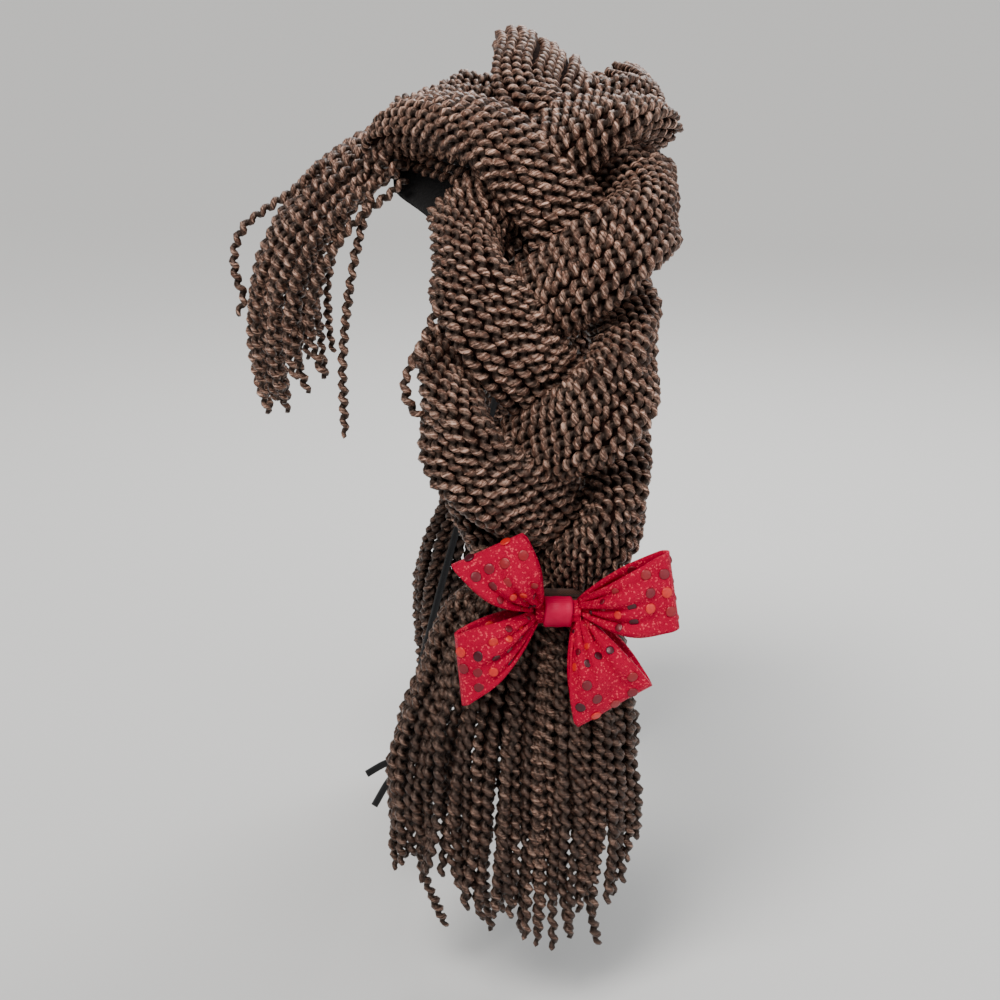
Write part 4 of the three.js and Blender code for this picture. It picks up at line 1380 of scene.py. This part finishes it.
def satin_band(side):
    half = BAND_WIDTH / 2
    profile = []
    for y in np.linspace(-half, half, 19):
        fold = 0.07 * math.cos(y / half * 2 * math.pi)
        edge = 0.35 * max(0.0, abs(y) / half - 0.86) / 0.14
        profile.append((y, BAND_CLOTH - 0.3 + fold - edge))
    profile += [(y, 0.0) for y in np.linspace(half, -half, 7)]
    rings = []
    for t in full_turn(BAND_TURNS):
        wobble = 0.12 * math.sin(3 * t)
        ring = []
        for y, rise in profile:
            reach = BAND_CORE + GAP + rise + wobble * (rise > 0)
            ring.append((reach * math.cos(t), y + 0.25 * math.sin(2 * t), reach * math.sin(t)))
        rings.append(BOW_PLACE + np.array(ring))
    parts = Parts()
    parts.add(np.concatenate(rings), ring_quads(BAND_TURNS, len(profile), closed=True))
    return parts.make(f"satin_knot_{side}", [SATIN], f"bow_band_{side}", side == "right")


# The elastic, a cord from side to side under the chin, and its knot

def between_knots(s, low, high, first, second):
    return (high - s) / (high - low) * first + (s - low) / (high - low) * second


def centripetal(points, per_gap=20):
    points = np.asarray(points, dtype=float)
    padded = np.vstack((2 * points[0] - points[1], points, 2 * points[-1] - points[-2]))
    found = []
    for i in range(len(points) - 1):
        p = padded[i : i + 4]
        t = np.concatenate(([0], np.cumsum(np.linalg.norm(np.diff(p, axis=0), axis=1) ** 0.5)))
        for s in np.linspace(t[1], t[2], per_gap, endpoint=False):
            a = [between_knots(s, t[k], t[k + 1], p[k], p[k + 1]) for k in range(3)]
            b = [between_knots(s, t[k], t[k + 2], a[k], a[k + 1]) for k in range(2)]
            found.append(between_knots(s, t[1], t[2], b[0], b[1]))
    found.append(points[-1])
    return np.array(found)


def round_tube(parts, path, radius, sides=14):
    _, side, other = path_frames(path)
    turn = full_turn(sides)
    ring = rings_round(path, side, other, radius, turn)
    lengths = np.concatenate(([0], np.cumsum(np.linalg.norm(np.diff(path, axis=0), axis=1))))
    weave = np.zeros(ring.shape)
    weave[..., 0] = lengths[:, None] * 2.2
    weave[..., 1] = turn[None, :] * 2.0
    quads = ring_quads(len(path), sides)
    parts.add(ring, quads, ring_caps(len(path), sides), weave=weave.reshape(-1, 3))


def chin_elastic(knot):
    left = np.array(ELASTIC_POINTS)
    right = left[:-1][::-1] * np.array((-1, 1, 1))
    path, lengths = even_path(centripetal(np.vstack((left, right))), 2.0)
    parts = Parts()
    round_tube(parts, path, ELASTIC_THICK / 2)
    piece = parts.make("round_elastic", [ELASTIC], "chin_elastic")
    return piece


KNOT_REACH = 2.5  # of its turns from the elastic's middle
KNOT_STEPS = 22


def knot_piece():
    """An overhand knot's turns round the elastic, with its two cut ends."""
    middle = np.array(ELASTIC_POINTS[KNOT_AT])
    ahead = unit(np.array(ELASTIC_POINTS[KNOT_AT + 1]) - np.array(ELASTIC_POINTS[KNOT_AT - 1]))
    side = unit(np.cross(ahead, (0, 0, 1.0)))
    up = np.cross(side, ahead)
    parts = Parts()
    for tip, start in zip(KNOT_ENDS, (-1.2, 1.2)):
        coil = []
        for t in np.linspace(0, 2 * math.pi, KNOT_STEPS):
            along = ahead * (start + 1.0 * math.sin(t * 0.5))
            coil.append(middle + along + side * KNOT_REACH * math.cos(t) + up * KNOT_REACH * math.sin(t))
        end = middle + np.array(tip)
        sag = (coil[-1] + end) / 2 + np.array((0, -1.0, 0.8))
        path, _ = even_path(smooth_path(coil[::3] + [sag, end], 6), 0.8)
        round_tube(parts, path, ELASTIC_THICK / 2 * 0.94, 12)
    return parts.make("elastic_tied_ends", [ELASTIC], "elastic_knot")


# Floor and light

FLOOR_HALF = 30.0
FLOOR_DROP = 0.03
FLOOR_CORNERS = ((-1, -1), (1, -1), (1, 1), (-1, 1))


def studio():
    level = CAD_BOX[0][2] - FLOOR_DROP
    corners = [(x * FLOOR_HALF, y * FLOOR_HALF, level) for x, y in FLOOR_CORNERS]
    floor_mesh = bpy.data.meshes.new("floor")
    floor_mesh.from_pydata(corners, [], [(0, 1, 2, 3)])
    floor = bpy.data.objects.new("floor", floor_mesh)
    bpy.context.scene.collection.objects.link(floor)
    material, _, shader = new_material("pale_floor")
    shader.inputs["Base Color"].default_value = (0.62, 0.62, 0.61, 1)
    shader.inputs["Roughness"].default_value = 0.9
    floor_mesh.materials.append(material)
    world = bpy.data.worlds.new("studio")
    world.use_nodes = True
    background = world.node_tree.nodes["Background"]
    background.inputs["Color"].default_value = (0.8, 0.82, 0.84, 1)
    background.inputs["Strength"].default_value = 0.4
    bpy.context.scene.world = world
    add_sun((0.62, -0.3, 0.9), 3.4, (1.0, 0.97, 0.94))
    add_light("fill", (0.7, 0.7, 0.1), 0.8, 4, (0.95, 0.97, 1.0))
    add_light("rim", (-0.6, 0.2, 0.6), 0.6, 8, (1.0, 1.0, 1.0))


def new_light(name, kind, power, colour, towards):
    data = bpy.data.lights.new(name, kind)
    data.energy = power
    data.color = colour
    light = bpy.data.objects.new(name, data)
    bpy.context.scene.collection.objects.link(light)
    light.rotation_euler = towards.to_track_quat("-Z", "Y").to_euler()
    return light


def add_sun(place, strength, colour):
    """A wide soft light from far off, so that the floor is evenly lit."""
    light = new_light("key", "SUN", strength, colour, -Vector(place))
    light.data.angle = 0.45


def add_light(name, place, size, power, colour):
    light = new_light(name, "AREA", power, colour, Vector((0.03, -0.01, -0.1)) - Vector(place))
    light.data.size = size
    light.location = place


# Making everything

chin_elastic(knot_piece())
felt_band()
for number in range(3):
    yarn_bundle(number)
yarn_fringe()
for wig_side in ("left", "right"):
    yarn_tassel(wig_side)
    tie_rounds(wig_side)
    ribbon_bow(wig_side)
    satin_band(wig_side)
studio()
